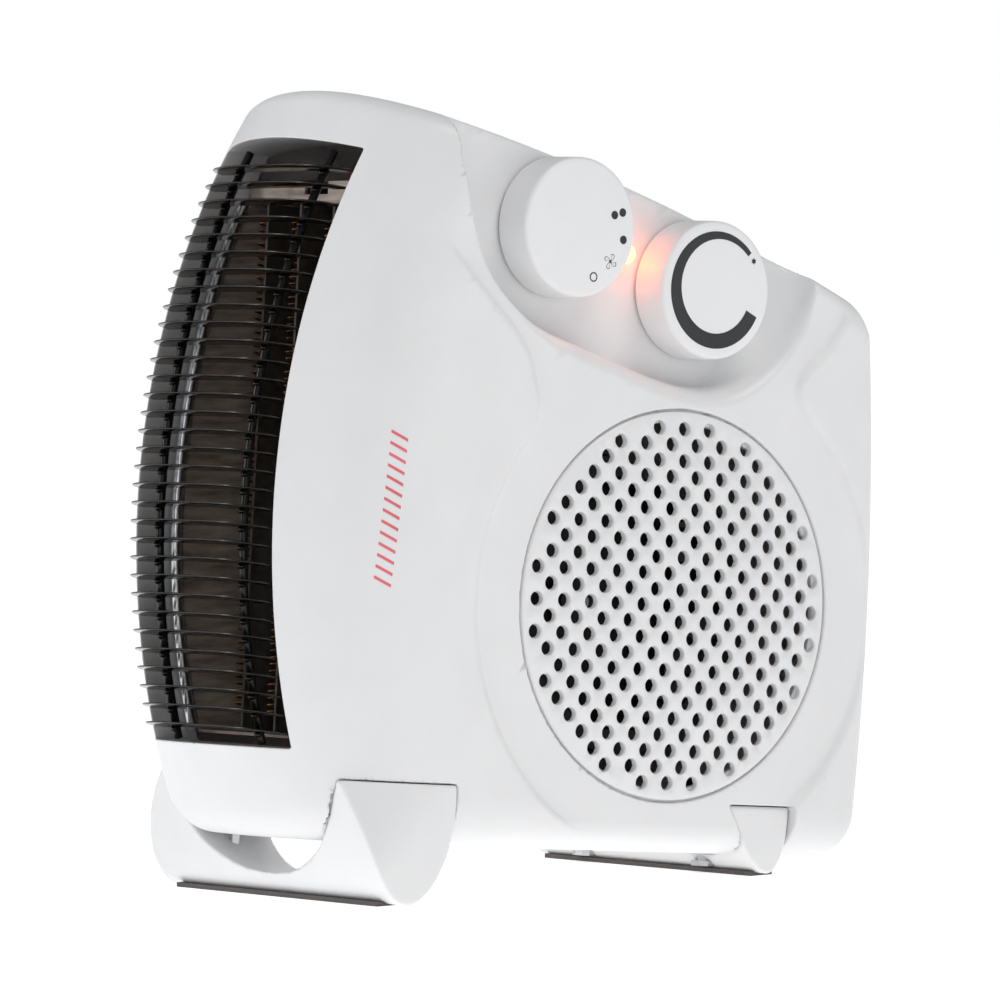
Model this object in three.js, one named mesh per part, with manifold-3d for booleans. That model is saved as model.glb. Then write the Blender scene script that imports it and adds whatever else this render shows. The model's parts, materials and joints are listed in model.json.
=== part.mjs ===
// Fan convector heater: a two-half moulded casing on two cradle feet, with a centrifugal
// blower, a wire-wound heater behind a finned outlet grille, and two turning knobs.
// Millimetres, +Z up, +X towards the knobs, +Y towards the back.
// The casing is drawn in its own frame, centred on the fan axis, and leans back on its feet.
import * as THREE from 'three';
import { mergeVertices } from 'three/addons/utils/BufferGeometryUtils.js';
import Module from 'manifold-3d';

const wasm = await Module();
wasm.setup();

// ---- driving dimensions -------------------------------------------------------------
const LEAN = 4.79 * Math.PI / 180;    // how far the casing leans back on its feet
const AXIS_HEIGHT = 86.42;            // fan axis above the floor
const FRONT_TO_MIDDLE = 33.3;         // fan axis behind the middle of the footprint

const HALF_WIDTH = 59;                // casing, middle plane to side panel
const SUNK_PLANE = 57;                // the keyhole-shaped field is sunk to this plane
const WALL = 2.5;
const SPLIT_GAP = 0.2;                // each half stops this far from the middle plane

const FRONT_RADIUS = 237;             // the front bulges forward as one large arc
const FRONT_CENTRE = { y: 85.4, z: 23.6 };
const NOSE_DEPTH = 54;                // plan of the nose is half an ellipse this deep
const TOP_RADIUS = 860;               // the top falls to the back as one large arc
const TOP_CENTRE = { y: -243, z: -703.6 };
const TOP_CROWN = 6.8;                // the top's middle line stands above its sides
const BACK_Y = 80.2;
const BACK_RADIUS = 900;
const BACK_CENTRE_Z = -4;
const BOTTOM_Z = -77;
const EDGE_ROUND = 6;                 // side panel to top and back
const BOTTOM_EDGE_ROUND = 14;         // side panel to bottom
const CORNER = { frontTop: 4, backTop: 9, backBottom: 9, frontBottom: 8 };

// The opening's top edge is arched: `crown` higher in the middle than at its corners.
const OPENING = { halfWidth: 35.3, bottom: -49.3, top: 133.9, crown: 3.2, jambDepth: 14 };
const NOSE_SET = 10.9;                // middle of the nose stands this far before the opening's edge

// The fins stand a little closer together towards the top, by `closing` for each fin squared.
const FIN = {
  count: 32, bottom: -43.55, pitch: 5.67, closing: 0.004,
  bulge: 11.4, width: 8, thickness: 0.8, tilt: 0.14,
};
const BAR = { x: 21.8, radius: 1.3, set: 0.7 };

const DISC = { radius: 60.4, seat: 61.2, dome: 3.3, thickness: 2.2, sides: 28 };
const HOLE = { spacing: 10, radius: 2.3, rows: [12, 11, 12, 11, 10, 11, 10, 9, 8, 7, 6, 3] };

const RECESS_FLOOR = 43;              // plane of the sunken panel that carries the knobs
const KNOB = { radius: 21.8, face: 57.2, gap: 0.8, edge: 1.6 };
const SELECTOR = { y: -45, z: 114.7 };
const THERMOSTAT = { y: 10, z: 99 };
const LAMP = { y: -17.5, z: 108.5, radius: 3.2 };

const SCREWS = [[-68, -60], [58, -60], [62, 74], [-68, 121]];
const FOOT_SCREW_X = 30;
const FOOT_CLEARANCE = 0.6;
const PAD = { width: 9, thickness: 1.4, halfLength: 52 };

// ---- meshes and solids --------------------------------------------------------------
function solid(geometry) {
  const bare = geometry.clone();
  bare.deleteAttribute('normal');
  bare.deleteAttribute('uv');
  const merged = mergeVertices(bare.index ? bare.toNonIndexed() : bare, 1e-4);
  const vertProperties = Float32Array.from(merged.attributes.position.array);
  const triVerts = Uint32Array.from(merged.index.array);
  if (signedVolume(vertProperties, triVerts) < 0) {
    for (let i = 0; i < triVerts.length; i += 3) {
      [triVerts[i], triVerts[i + 1]] = [triVerts[i + 1], triVerts[i]];
    }
  }
  return new wasm.Manifold(new wasm.Mesh({ numProp: 3, vertProperties, triVerts }));
}

function signedVolume(p, tri) {
  let sum = 0;
  const [a, b, c] = [new THREE.Vector3(), new THREE.Vector3(), new THREE.Vector3()];
  for (let i = 0; i < tri.length; i += 3) {
    a.fromArray(p, tri[i] * 3);
    b.fromArray(p, tri[i + 1] * 3);
    c.fromArray(p, tri[i + 2] * 3);
    sum += a.dot(b.cross(c));
  }
  return sum;
}

function geometryOf(shape) {
  const mesh = shape.getMesh();
  const geometry = new THREE.BufferGeometry();
  geometry.setAttribute('position', new THREE.BufferAttribute(Float32Array.from(mesh.vertProperties), 3));
  geometry.setIndex(new THREE.BufferAttribute(Uint32Array.from(mesh.triVerts), 1));
  geometry.computeVertexNormals();
  return geometry;
}

function joined(shapes) {
  return shapes.reduce((all, one) => all.add(one));
}

// A closed skin over rings of the same number of points, with both ends capped.
function loft(rings) {
  const n = rings[0].length;
  const position = rings.flat(2);
  const index = [];
  for (let k = 0; k + 1 < rings.length; k++) {
    for (let i = 0; i < n; i++) {
      const j = (i + 1) % n;
      const [a, b, c, d] = [k * n + i, k * n + j, (k + 1) * n + i, (k + 1) * n + j];
      index.push(a, b, d, a, d, c);
    }
  }
  const last = (rings.length - 1) * n;
  for (let i = 1; i + 1 < n; i++) {
    index.push(0, i + 1, i);
    index.push(last, last + i, last + i + 1);
  }
  const geometry = new THREE.BufferGeometry();
  geometry.setAttribute('position', new THREE.Float32BufferAttribute(position, 3));
  geometry.setIndex(index);
  return geometry;
}

const ALONG_X = new THREE.Matrix4().makeBasis(
  new THREE.Vector3(0, 1, 0), new THREE.Vector3(0, 0, 1), new THREE.Vector3(1, 0, 0));

// An outline in the YZ plane, extruded from x0 to x1.
function prismX(outline, x0, x1, curveSegments = 12) {
  const shape = outline instanceof THREE.Shape ? outline
    : new THREE.Shape(outline.map(([y, z]) => new THREE.Vector2(y, z)));
  const geometry = new THREE.ExtrudeGeometry(shape, { depth: x1 - x0, bevelEnabled: false, curveSegments });
  return solid(geometry.applyMatrix4(ALONG_X).translate(x0, 0, 0));
}

// An outline in the XZ plane, extruded from y0 to y1.
function prismY(outline, y0, y1) {
  const shape = new THREE.Shape(outline.map(([x, z]) => new THREE.Vector2(x, z)));
  const geometry = new THREE.ExtrudeGeometry(shape, { depth: y1 - y0, bevelEnabled: false });
  return solid(geometry.rotateX(Math.PI / 2).translate(0, y1, 0));
}

function box([x0, y0, z0], [x1, y1, z1]) {
  const geometry = new THREE.BoxGeometry(x1 - x0, y1 - y0, z1 - z0);
  return solid(geometry.translate((x0 + x1) / 2, (y0 + y1) / 2, (z0 + z1) / 2));
}

function rodX(y, z, radius, x0, x1, sides = 20) {
  const geometry = new THREE.CylinderGeometry(radius, radius, x1 - x0, sides);
  return solid(geometry.rotateZ(-Math.PI / 2).translate((x0 + x1) / 2, y, z));
}

function rodZ(x, y, radius, z0, z1, sides = 16) {
  const geometry = new THREE.CylinderGeometry(radius, radius, z1 - z0, sides);
  return solid(geometry.rotateX(Math.PI / 2).translate(x, y, (z0 + z1) / 2));
}

// A profile of [radius, x] points turned about an axis along X through (y, z).
function turnedX(profile, y, z, sides = 32) {
  const points = profile.map(([r, x]) => new THREE.Vector2(r, x));
  return solid(new THREE.LatheGeometry(points, sides).rotateZ(-Math.PI / 2).translate(0, y, z));
}

// A round wire along a smooth curve through the points.
function wire(points, radius, steps, sides = 6) {
  const path = new THREE.CatmullRomCurve3(points.map((p) => new THREE.Vector3(...p)));
  const section = new THREE.Shape();
  for (let i = 0; i < sides; i++) {
    const turn = i / sides * 2 * Math.PI;
    const corner = [radius * Math.cos(turn), radius * Math.sin(turn)];
    if (i === 0) section.moveTo(...corner);
    else section.lineTo(...corner);
  }
  section.closePath();
  return solid(new THREE.ExtrudeGeometry(section, { steps, extrudePath: path }));
}

// ---- casing form --------------------------------------------------------------------
const arc = (radius, offset) => Math.sqrt(radius * radius - offset * offset);
const openingEdgeY = (z) => FRONT_CENTRE.y + NOSE_SET - arc(FRONT_RADIUS, z - FRONT_CENTRE.z);

// Side view of the casing at distance x from the middle plane, `inset` inside its outer face.
function sideOutline(x, inset) {
  const half = HALF_WIDTH - inset;
  const across = Math.min(x / half, 1);
  const rounding = (radius) => {
    const into = Math.max(0, x - (half - radius));
    return radius - arc(radius, Math.min(into, radius));
  };
  const nose = NOSE_DEPTH * (1 - Math.sqrt(1 - across * across));
  const front = (z) => FRONT_CENTRE.y - arc(FRONT_RADIUS, z - FRONT_CENTRE.z) + nose + inset;
  const top = (y) => TOP_CENTRE.z + arc(TOP_RADIUS, y - TOP_CENTRE.y)
    + TOP_CROWN * (1 - across * across) - rounding(EDGE_ROUND) - inset;
  const back = (z) => BACK_Y - (z - BACK_CENTRE_Z) ** 2 / (2 * BACK_RADIUS) - rounding(EDGE_ROUND) - inset;
  const bottom = BOTTOM_Z + rounding(BOTTOM_EDGE_ROUND) + inset;

  let z = top(front(130));
  for (let i = 0; i < 8; i++) z = top(front(z));
  const frontTop = [front(z), z];
  let y = back(top(BACK_Y));
  for (let i = 0; i < 8; i++) y = back(top(y));
  const backTop = [y, top(y)];

  const lerp = THREE.MathUtils.lerp;
  const alongFront = (t) => { const h = lerp(bottom, frontTop[1], t); return [front(h), h]; };
  const alongTop = (t) => { const d = lerp(frontTop[0], backTop[0], t); return [d, top(d)]; };
  const alongBack = (t) => { const h = lerp(backTop[1], bottom, t); return [back(h), h]; };
  const alongBottom = (t) => [lerp(back(bottom), front(bottom), t), bottom];
  const length = { front: frontTop[1] - bottom, side: backTop[0] - frontTop[0] };
  length.back = backTop[1] - bottom;
  length.bottom = back(bottom) - front(bottom);

  const runs = [
    [alongFront, length.front, CORNER.frontBottom, CORNER.frontTop, 10],
    [alongTop, length.side, CORNER.frontTop, CORNER.backTop, 6],
    [alongBack, length.back, CORNER.backTop, CORNER.backBottom, 4],
    [alongBottom, length.bottom, CORNER.backBottom, CORNER.frontBottom, 3],
  ];
  const points = [];
  for (const [i, [curve, span, startRound, endRound, count]] of runs.entries()) {
    const [t0, t1] = [startRound / span, 1 - endRound / span];
    for (let k = 0; k <= count; k++) points.push(curve(lerp(t0, t1, k / count)));
    const [nextCurve, nextSpan] = runs[(i + 1) % runs.length];
    const [a, corner, b] = [curve(t1), curve(1), nextCurve(endRound / nextSpan)];
    for (const t of [0.33, 0.67]) {
      points.push([0, 1].map((c) => (1 - t) ** 2 * a[c] + 2 * t * (1 - t) * corner[c] + t * t * b[c]));
    }
  }
  return points;
}

function casingForm(inset) {
  const half = HALF_WIDTH - inset;
  const turns = [0, 22, 40, 53, 64, 74, 83, 90];
  const rings = turns.map((turn) => {
    const x = turn === 90 ? half : half * Math.sin(turn * Math.PI / 180);
    return sideOutline(x, inset).map(([y, z]) => [x, y, z]);
  });
  return solid(loft(rings));
}

function mirrored(shape) {
  return shape.mirror([1, 0, 0]);
}

// ---- feet ---------------------------------------------------------------------------
// D-shaped section with a flat top and a round underside, from its top corners and lowest point.
function footSection({ front, back, low, swell }, spread = 0) {
  const [frontY, backY] = [front[0] - spread, back[0] + spread];
  const top = front[1] + spread;
  const [lowY, lowZ] = [low[0], low[1] - spread];
  const [ahead, behind, depth] = [lowY - frontY, backY - lowY, top - lowZ];
  const shape = new THREE.Shape();
  shape.moveTo(backY, top);
  shape.lineTo(frontY, top);
  shape.bezierCurveTo(frontY + swell[0] * ahead, top - swell[1] * depth,
    frontY + swell[2] * ahead, lowZ, lowY, lowZ);
  shape.bezierCurveTo(lowY + 0.5 * behind, lowZ, backY + 0.1 * behind, lowZ + 0.42 * depth, backY, top);
  return shape;
}

const FEET = {
  front: {
    section: { front: [-118.9, -58], back: [-83.3, -58], low: [-100.3, -94.9], swell: [0.13, 0.38, 0.425] },
    halfLength: 59.3, screwY: -101, screwSeat: 5.4, pad: -109.4, arched: true,
  },
  rear: {
    section: { front: [26.7, -61.4], back: [51.5, -61.4], low: [44.2, -82.4], swell: [0.4, 0.58, 0.68] },
    halfLength: 55.8, screwY: 39, screwSeat: 2.5, pad: 37.4, arched: false,
  },
};

// Front view of the front foot's hollow, from the middle up one side.
const ARCH = [
  [4, -88.1], [13, -87], [22, -84], [30, -79.5], [35.5, -74], [39, -69], [45, -58], [49.4, -50], [49.4, -30],
];

// The hollow between a foot's two horns: the casing's bottom sits in it.
function cradle(clear, arched) {
  let outline = [];
  if (arched) {
    outline = ARCH.map(([x, z]) => [x + clear, z === -30 ? z : z - clear]);
  } else {
    const half = 50 + clear;
    const bottom = BOTTOM_Z - 0.4 - clear;
    const radius = 16;
    for (let i = 0; i <= 4; i++) {
      const turn = i / 4 * Math.PI / 2;
      outline.push([half - radius + radius * Math.sin(turn), bottom + radius - radius * Math.cos(turn)]);
    }
    outline.push([half, -30]);
  }
  const whole = [...outline, ...outline.toReversed().map(([x, z]) => [-x, z])];
  return prismY(whole, -150, 80);
}

// The front foot's ends are rounded like the nose in plan, more so towards the horns' tips.
function archedEnds(halfLength) {
  const rings = [-100, -85, -75, -66, -55].map((z) => {
    const front = -140.8 + 0.815 * (z + 61);
    const ring = [[-halfLength, 0, z]];
    for (let i = -8; i <= 8; i++) {
      const turn = i / 8 * Math.PI / 2;
      ring.push([halfLength * Math.sin(turn), front + NOSE_DEPTH * (1 - Math.cos(turn)), z]);
    }
    ring.push([halfLength, 0, z]);
    return ring;
  });
  return solid(loft(rings));
}

function foot({ section, halfLength, screwY, screwSeat, arched }) {
  let shape = prismX(footSection(section), -halfLength, halfLength, 6);
  if (arched) shape = shape.intersect(archedEnds(halfLength));
  shape = shape.subtract(cradle(0, arched));
  for (const x of [-FOOT_SCREW_X, FOOT_SCREW_X]) {
    shape = shape.subtract(rodZ(x, screwY, 2.3, BOTTOM_Z - 30, -60));
    shape = shape.subtract(rodZ(x, screwY, 4.9, BOTTOM_Z - 40, BOTTOM_Z - screwSeat));
  }
  return shape;
}

function footScrew(x, { screwY, screwSeat }) {
  const under = BOTTOM_Z - screwSeat - 0.2;
  const head = rodZ(x, screwY, 4, under - 1.7, under, 10);
  return head.add(rodZ(x, screwY, 1.9, under - 0.1, BOTTOM_Z + 7, 10));
}

// ---- casing halves ------------------------------------------------------------------
// The outlet passage from in front of the nose back to the end of its jambs, for x > fromX.
function outletPassage(spread, beyond, fromX) {
  const half = OPENING.halfWidth + spread;
  const [low, high] = [OPENING.bottom - spread, OPENING.top + OPENING.crown + spread];
  const sideView = [[-190, low]];
  for (let i = 0; i <= 8; i++) {
    const z = THREE.MathUtils.lerp(low, high, i / 8);
    sideView.push([openingEdgeY(z) + OPENING.jambDepth + beyond, z]);
  }
  sideView.push([-190, high]);
  const frontView = [[fromX, low], [half, low]];
  for (let i = 4; i >= 0; i--) {
    const x = THREE.MathUtils.lerp(fromX, half, i / 4);
    const across = Math.min(Math.abs(x) / OPENING.halfWidth, 1);
    frontView.push([x, OPENING.top + OPENING.crown * (1 - across * across) + spread]);
  }
  return prismX(sideView, fromX, half).intersect(prismY(frontView, -190, 60));
}

// Everything a half needs in its wall on either side: opening, jambs, disc seat, bosses.
function casingHalf(recess, recessPocket, field) {
  let outer = casingForm(0).subtract(field(SUNK_PLANE));
  let hollow = casingForm(WALL).subtract(field(SUNK_PLANE - WALL));
  if (recess) {
    outer = outer.subtract(recess);
    hollow = hollow.subtract(recessPocket);
  }
  for (const { section, arched } of Object.values(FEET)) {
    const horn = prismX(footSection(section, FOOT_CLEARANCE), 0, 70, 6);
    outer = outer.subtract(horn.subtract(cradle(-0.4, arched)));
    const grown = prismX(footSection(section, FOOT_CLEARANCE + WALL), 0, 70, 6);
    hollow = hollow.subtract(grown.subtract(cradle(-0.4 - WALL, arched)));
  }

  const jamb = outletPassage(WALL, 0, 0);
  hollow = hollow.subtract(jamb);
  const bosses = SCREWS.map(([y, z]) => rodX(y, z, 4.8, 0, HALF_WIDTH - 1, 10));
  const footBosses = Object.values(FEET).map(({ screwY }) =>
    rodZ(FOOT_SCREW_X, screwY, 4.6, BOTTOM_Z + 1, BOTTOM_Z + 12, 8));
  hollow = hollow.subtract(joined([...bosses, ...footBosses]));
  hollow = hollow.subtract(rodX(0, 0, DISC.seat + 3, SUNK_PLANE - 5, 80, DISC.sides)).subtract(jamb);

  let half = outer.subtract(hollow);
  half = half.subtract(outletPassage(0, 1, -1));
  half = half.subtract(rodX(0, 0, DISC.seat, SUNK_PLANE - 1.9, 70, DISC.sides));
  half = half.subtract(rodX(0, 0, DISC.radius - 3.4, 30, 70, DISC.sides));
  for (const { screwY } of Object.values(FEET)) {
    half = half.subtract(rodZ(FOOT_SCREW_X, screwY, 2.3, BOTTOM_Z - 4, BOTTOM_Z + 9, 12));
  }
  return half.subtract(box([-1, -200, -200], [SPLIT_GAP, 200, 200]));
}

// The recess that holds the knobs, open at the top, with its wall along this line.
const RECESS_WALL = [
  [-90.1, 131.7], [-88, 122.8], [-85.1, 113.8], [-80.5, 103.5], [-73.8, 94.8], [-64, 87.6],
  [-52.7, 83.2], [-36.7, 78.6], [-20.5, 74], [-6, 70.4], [8, 68.6], [22, 70.6], [34, 77.6],
  [43, 87], [49, 97], [52, 107],
];

function recessOutline(spread) {
  const wall = new THREE.SplineCurve(RECESS_WALL.map(([y, z]) => new THREE.Vector2(y, z)));
  const points = wall.getPoints(26).map((p, i, all) => {
    const [before, after] = [all[Math.max(i - 1, 0)], all[Math.min(i + 1, all.length - 1)]];
    const along = after.clone().sub(before).normalize();
    return [p.x + along.y * spread, p.y - along.x * spread];
  });
  return [[points[0][0], 180], ...points, [points.at(-1)[0], 180]];
}

// The keyhole-shaped field round the disc: a circle with a flared neck up to the recess.
function keyholeField(fromX) {
  const circle = rodX(0, 0, 78.5, fromX, 80, 40);
  const neck = prismX([
    [-57, 54], [-59.5, 66], [-61, 71], [-68.2, 81.4], [-80.6, 92.8], [-92, 103], [-95, 114], [-91, 131],
    [-91, 180], [66, 180], [66, 100], [56.1, 85], [48.8, 77.6], [42.7, 70.3], [43.5, 62], [52, 52],
  ], fromX, 80);
  return circle.add(neck);
}

function circleField(fromX) {
  return rodX(0, 0, 78.5, fromX, 80, 40);
}

function nearShell() {
  const recess = prismX(recessOutline(0), RECESS_FLOOR, 80);
  const pocket = prismX(recessOutline(WALL), RECESS_FLOOR - WALL, 80);
  let shell = casingHalf(recess, pocket, keyholeField);
  for (const { y, z } of [SELECTOR, THERMOSTAT]) {
    shell = shell.subtract(rodX(y, z, 4.4, RECESS_FLOOR - 6, RECESS_FLOOR + 1, 16));
  }
  shell = shell.subtract(rodX(LAMP.y, LAMP.z, LAMP.radius + 0.3, RECESS_FLOOR - 6, RECESS_FLOOR + 1, 16));
  for (const [y, z] of SCREWS) shell = shell.subtract(rodX(y, z, 2.1, -1, 16, 8));
  return shell;
}

function farShell() {
  let shell = casingHalf(null, null, circleField);
  for (const [y, z] of SCREWS) {
    shell = shell.subtract(rodX(y, z, 2.3, -1, 80, 8));
    shell = shell.subtract(rodX(y, z, 4.2, 36.8, 80, 10));
  }
  shell = mirrored(shell);
  const hole = new THREE.CylinderGeometry(6.4, 6.4, 20, 16).translate(GLAND.x, BACK_Y, GLAND.z);
  return shell.subtract(solid(hole));
}

function casingScrew([y, z]) {
  const shaft = rodX(y, z, 1.8, -37.2, 12, 10);
  return shaft.add(rodX(y, z, 3.8, -39.6, -37.1, 12));
}

// ---- perforated disc ----------------------------------------------------------------
// Rows of holes run along Y; every second row is shifted by half a step.
function discHoles() {
  const holes = [];
  for (let row = -11; row <= 11; row++) {
    const count = HOLE.rows[Math.abs(row)];
    const z = row * HOLE.spacing / 2;
    for (let i = 0; i < count; i++) holes.push([(i - (count - 1) / 2) * HOLE.spacing, z]);
  }
  return holes;
}

function domedPlate() {
  const { radius, dome, thickness } = DISC;
  const arcRadius = (radius * radius + dome * dome) / (2 * dome);
  const rise = (r) => arc(arcRadius, r) - (arcRadius - dome);
  const rings = [0, 0.6, 1].map((part) => part * radius);
  const front = rings.map((r) => [r, SUNK_PLANE + rise(r)]);
  const back = rings.toReversed().map((r) => [r, SUNK_PLANE + rise(r) - thickness]);
  back[0] = [radius - 0.4, SUNK_PLANE - thickness + 0.7];
  return turnedX([...front, ...back], 0, 0, DISC.sides);
}

function intakeGrille() {
  const r = HOLE.radius * 1.15;
  const drills = discHoles().map(([y, z]) =>
    prismX([[y + r, z], [y, z + r], [y - r, z], [y, z - r]], 50, 66));
  return domedPlate().subtract(wasm.Manifold.union(drills));
}

// The far disc only cools the motor: two rings of slots.
function ventGrille() {
  const slots = [];
  for (const [ring, count] of [[22, 6], [40, 10]]) {
    for (let i = 0; i < count; i++) {
      const [t0, t1] = [(i + 0.12) / count * 2 * Math.PI, (i + 0.88) / count * 2 * Math.PI];
      const slot = new THREE.Shape();
      slot.absarc(0, 0, ring + 3, t0, t1, false);
      slot.absarc(0, 0, ring - 3, t1, t0, true);
      slots.push(prismX(slot, 50, 66, 2));
    }
  }
  return mirrored(domedPlate().subtract(wasm.Manifold.union(slots)));
}

// ---- outlet grille ------------------------------------------------------------------
// One thin fin: a flat strip bent round the nose, its front edge tipped up.
function fin(z) {
  const edge = openingEdgeY(z);
  const steps = 7;
  const rings = [];
  const half = OPENING.halfWidth - 0.6;
  for (let i = 0; i <= steps; i++) {
    const turn = (i / steps - 0.5) * Math.PI;
    const point = (inset, lift) => {
      const reach = (FIN.bulge - inset) * Math.abs(Math.cos(turn)) ** 0.8;
      const x = (half - inset) * Math.sign(Math.sin(turn)) * Math.abs(Math.sin(turn)) ** 0.8;
      return [x, edge + 1 - reach, z + FIN.tilt * (reach - FIN.bulge) + lift];
    };
    const t = FIN.thickness / 2;
    rings.push([point(0, -t), point(0, t), point(FIN.width, t), point(FIN.width, -t)]);
  }
  return solid(loft(rings));
}

function outletGrille() {
  const fins = [];
  for (let i = 0; i < FIN.count; i++) fins.push(fin(FIN.bottom + i * FIN.pitch - i * i * FIN.closing));
  const bars = [-BAR.x, BAR.x].map((x) => {
    const points = [];
    for (let i = 0; i <= 9; i++) {
      const z = THREE.MathUtils.lerp(OPENING.bottom + 1, OPENING.top - 1.2, i / 9);
      points.push([x, openingEdgeY(z) - BAR.set, z]);
    }
    return wire(points, BAR.radius, 9, 4);
  });
  return wasm.Manifold.union([...fins, ...bars]);
}

// ---- knobs, switches and lamp -------------------------------------------------------
const BORE = 3.3;

function knob({ y, z }) {
  const { radius, face, gap, edge } = KNOB;
  const back = RECESS_FLOOR + gap;
  const body = turnedX([
    [0, back + 4], [BORE + 3, back + 4], [BORE + 3, back + 2], [radius - 2.2, back + 2],
    [radius - 2.2, back], [radius, back], [radius - 0.3, face - edge],
    [radius - edge * 0.35, face - edge * 0.35], [radius - edge, face], [0, face],
  ], y, z, 24);
  return body.subtract(rodX(y, z, BORE, back - 1, face - 3, 16));
}

function shaft({ y, z }) {
  const rod = rodX(y, z, BORE - 0.3, RECESS_FLOOR - 8, KNOB.face - 3.4, 16);
  const flat = box([RECESS_FLOOR + 2, y + 1.8, z - 5], [60, y + 5, z + 5]);
  return rod.subtract(flat);
}

function controlBody({ y, z }, half, depth) {
  const top = RECESS_FLOOR - WALL - 0.4;
  const block = box([top - depth, y - half, z - half], [top, y + half, z + half]);
  const tabs = [-1, 0, 1].map((k) => box(
    [top - depth - 7, y + k * half * 0.6 - 0.4, z - half + 2],
    [top - depth + 1, y + k * half * 0.6 + 0.4, z - half + 7]));
  return joined([block, ...tabs]).subtract(rodX(y, z, BORE + 0.1, RECESS_FLOOR - 8.4, 50, 16));
}

function lamp() {
  const { y, z, radius } = LAMP;
  return turnedX([
    [0, RECESS_FLOOR - 16], [radius, RECESS_FLOOR - 16], [radius, RECESS_FLOOR + 2.4],
    [radius * 0.8, RECESS_FLOOR + 3.6], [0, RECESS_FLOOR + 4.2],
  ], y, z, 16);
}

// ---- blower -------------------------------------------------------------------------
const SCROLL = { near: 36, far: -8, wall: 2 };

function scrollLine(offset) {
  const points = [[-92, -45 - offset]];
  for (let i = 0; i <= 18; i++) {
    const turn = THREE.MathUtils.lerp(-140, 108, i / 18);
    const radius = 54 + 15 * i / 18 + offset;
    points.push([radius * Math.cos(turn * Math.PI / 180), radius * Math.sin(turn * Math.PI / 180)]);
  }
  points.push([-92, 117 + offset]);
  return points;
}

function blowerScroll() {
  const { near, far, wall } = SCROLL;
  const outside = prismX(scrollLine(wall), far, near);
  const inside = prismX([...scrollLine(0), [-94, 117], [-94, -45]], far + wall, near + 1);
  return outside.subtract(inside).subtract(rodX(0, 0, 14, far - 1, far + wall + 1, 24));
}

// The plate carries the impeller's ring of blades and its hub sits on the motor's shaft.
function impellerPlate() {
  const hub = turnedX([[3, 0], [8, 0], [8, 10], [3, 10], [3, 0]], 0, 0, 16);
  return rodX(0, 0, 39.5, 0, 1.6, 40).subtract(rodX(0, 0, 4, -1, 3, 16)).add(hub);
}

function impellerBlades() {
  const rings = [0, 30.4].map((x) =>
    turnedX([[40, x], [47, x], [47, x + 1.6], [40, x + 1.6], [40, x]], 0, 0, 40));
  const blades = [];
  for (let i = 0; i < 24; i++) {
    const blade = new THREE.BoxGeometry(30, 7.4, 1.2).rotateX(0.6).translate(16.2, 43.4, 0);
    blades.push(solid(blade.rotateX(i / 24 * 2 * Math.PI)));
  }
  return wasm.Manifold.union([...rings, ...blades]);
}

const MOTOR = { front: -14, back: -32, half: 26, bore: 12.5 };

function motorStator() {
  const stack = box([MOTOR.back, -MOTOR.half, -MOTOR.half - 14], [MOTOR.front, MOTOR.half, MOTOR.half]);
  return stack.subtract(rodX(0, 0, MOTOR.bore, -60, 0, 24))
    .subtract(box([-60, -15, -36], [0, 15, -19]));
}

function motorCoil() {
  return turnedX([[5, -14], [8.2, -14], [8.2, 14], [5, 14], [5, -14]], 0, 0, 20);
}

function motorShaft() {
  const rotor = rodX(0, 0, MOTOR.bore - 0.5, MOTOR.back - 1, MOTOR.front + 1, 24);
  return rotor.add(rodX(0, 0, 2.6, -44, 10.8, 16));
}

function motorBracket(x, direction) {
  const plate = box([x, -30, -12], [x + 1.6, 30, 12]).subtract(rodX(0, 0, 5.2, x - 1, x + 3, 16));
  const legs = [-1, 1].map((side) => box(
    [Math.min(x, x + direction * 5), side * 28 - 2, -12],
    [Math.max(x + 1.6, x + 1.6 + direction * 5), side * 28 + 2, 12]));
  return joined([plate, ...legs]);
}

function bearing(x) {
  return turnedX([[2.9, x], [4.9, x], [4.9, x + 4], [2.9, x + 4], [2.9, x]], 0, 0, 16);
}

// ---- heater -------------------------------------------------------------------------
const LINER = { half: 34.2, bottom: -46.6, top: 119, back: -93, sheet: 0.9 };

// Sheet duct behind the jambs: its front edge follows the bulge of the nose.
function ductLiner() {
  const { half, bottom, top, back, sheet } = LINER;
  const behindJamb = OPENING.jambDepth + 2.2;
  const sideView = (low, high, front) => {
    const points = [[back + (front ? 1 : 0), high], [back + (front ? 1 : 0), low]];
    for (let i = 0; i <= 8; i++) {
      const z = THREE.MathUtils.lerp(low, high, i / 8);
      points.push([openingEdgeY(z) + behindJamb - front, z]);
    }
    return points;
  };
  const tube = prismX(sideView(bottom, top, 0), -half, half)
    .subtract(prismX(sideView(bottom + sheet, top - sheet, 1), -half + sheet, half - sheet));
  const lipFront = openingEdgeY(top) + behindJamb;
  const lip = box([-half, lipFront, top - 0.5], [half, lipFront + sheet, top + 6]);
  const lipGap = box([-6, lipFront - 1, top + 2], [6, lipFront + 2, top + 8]);
  return tube.add(lip).subtract(lipGap);
}

const BOARD_X = [-17, 0, 17];
const COIL_X = [-25.5, -8.5, 8.5, 25.5];

function micaBoard(x) {
  const { bottom, top } = LINER;
  return box([x - 0.5, -110, bottom + 1.4], [x + 0.5, -96, top - 1.4]);
}

// A ribbon element folded back and forth up the duct.
const RIBBON = { folds: 10, front: -108, back: -98, halfWidth: 2.4, thickness: 0.8 };

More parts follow.
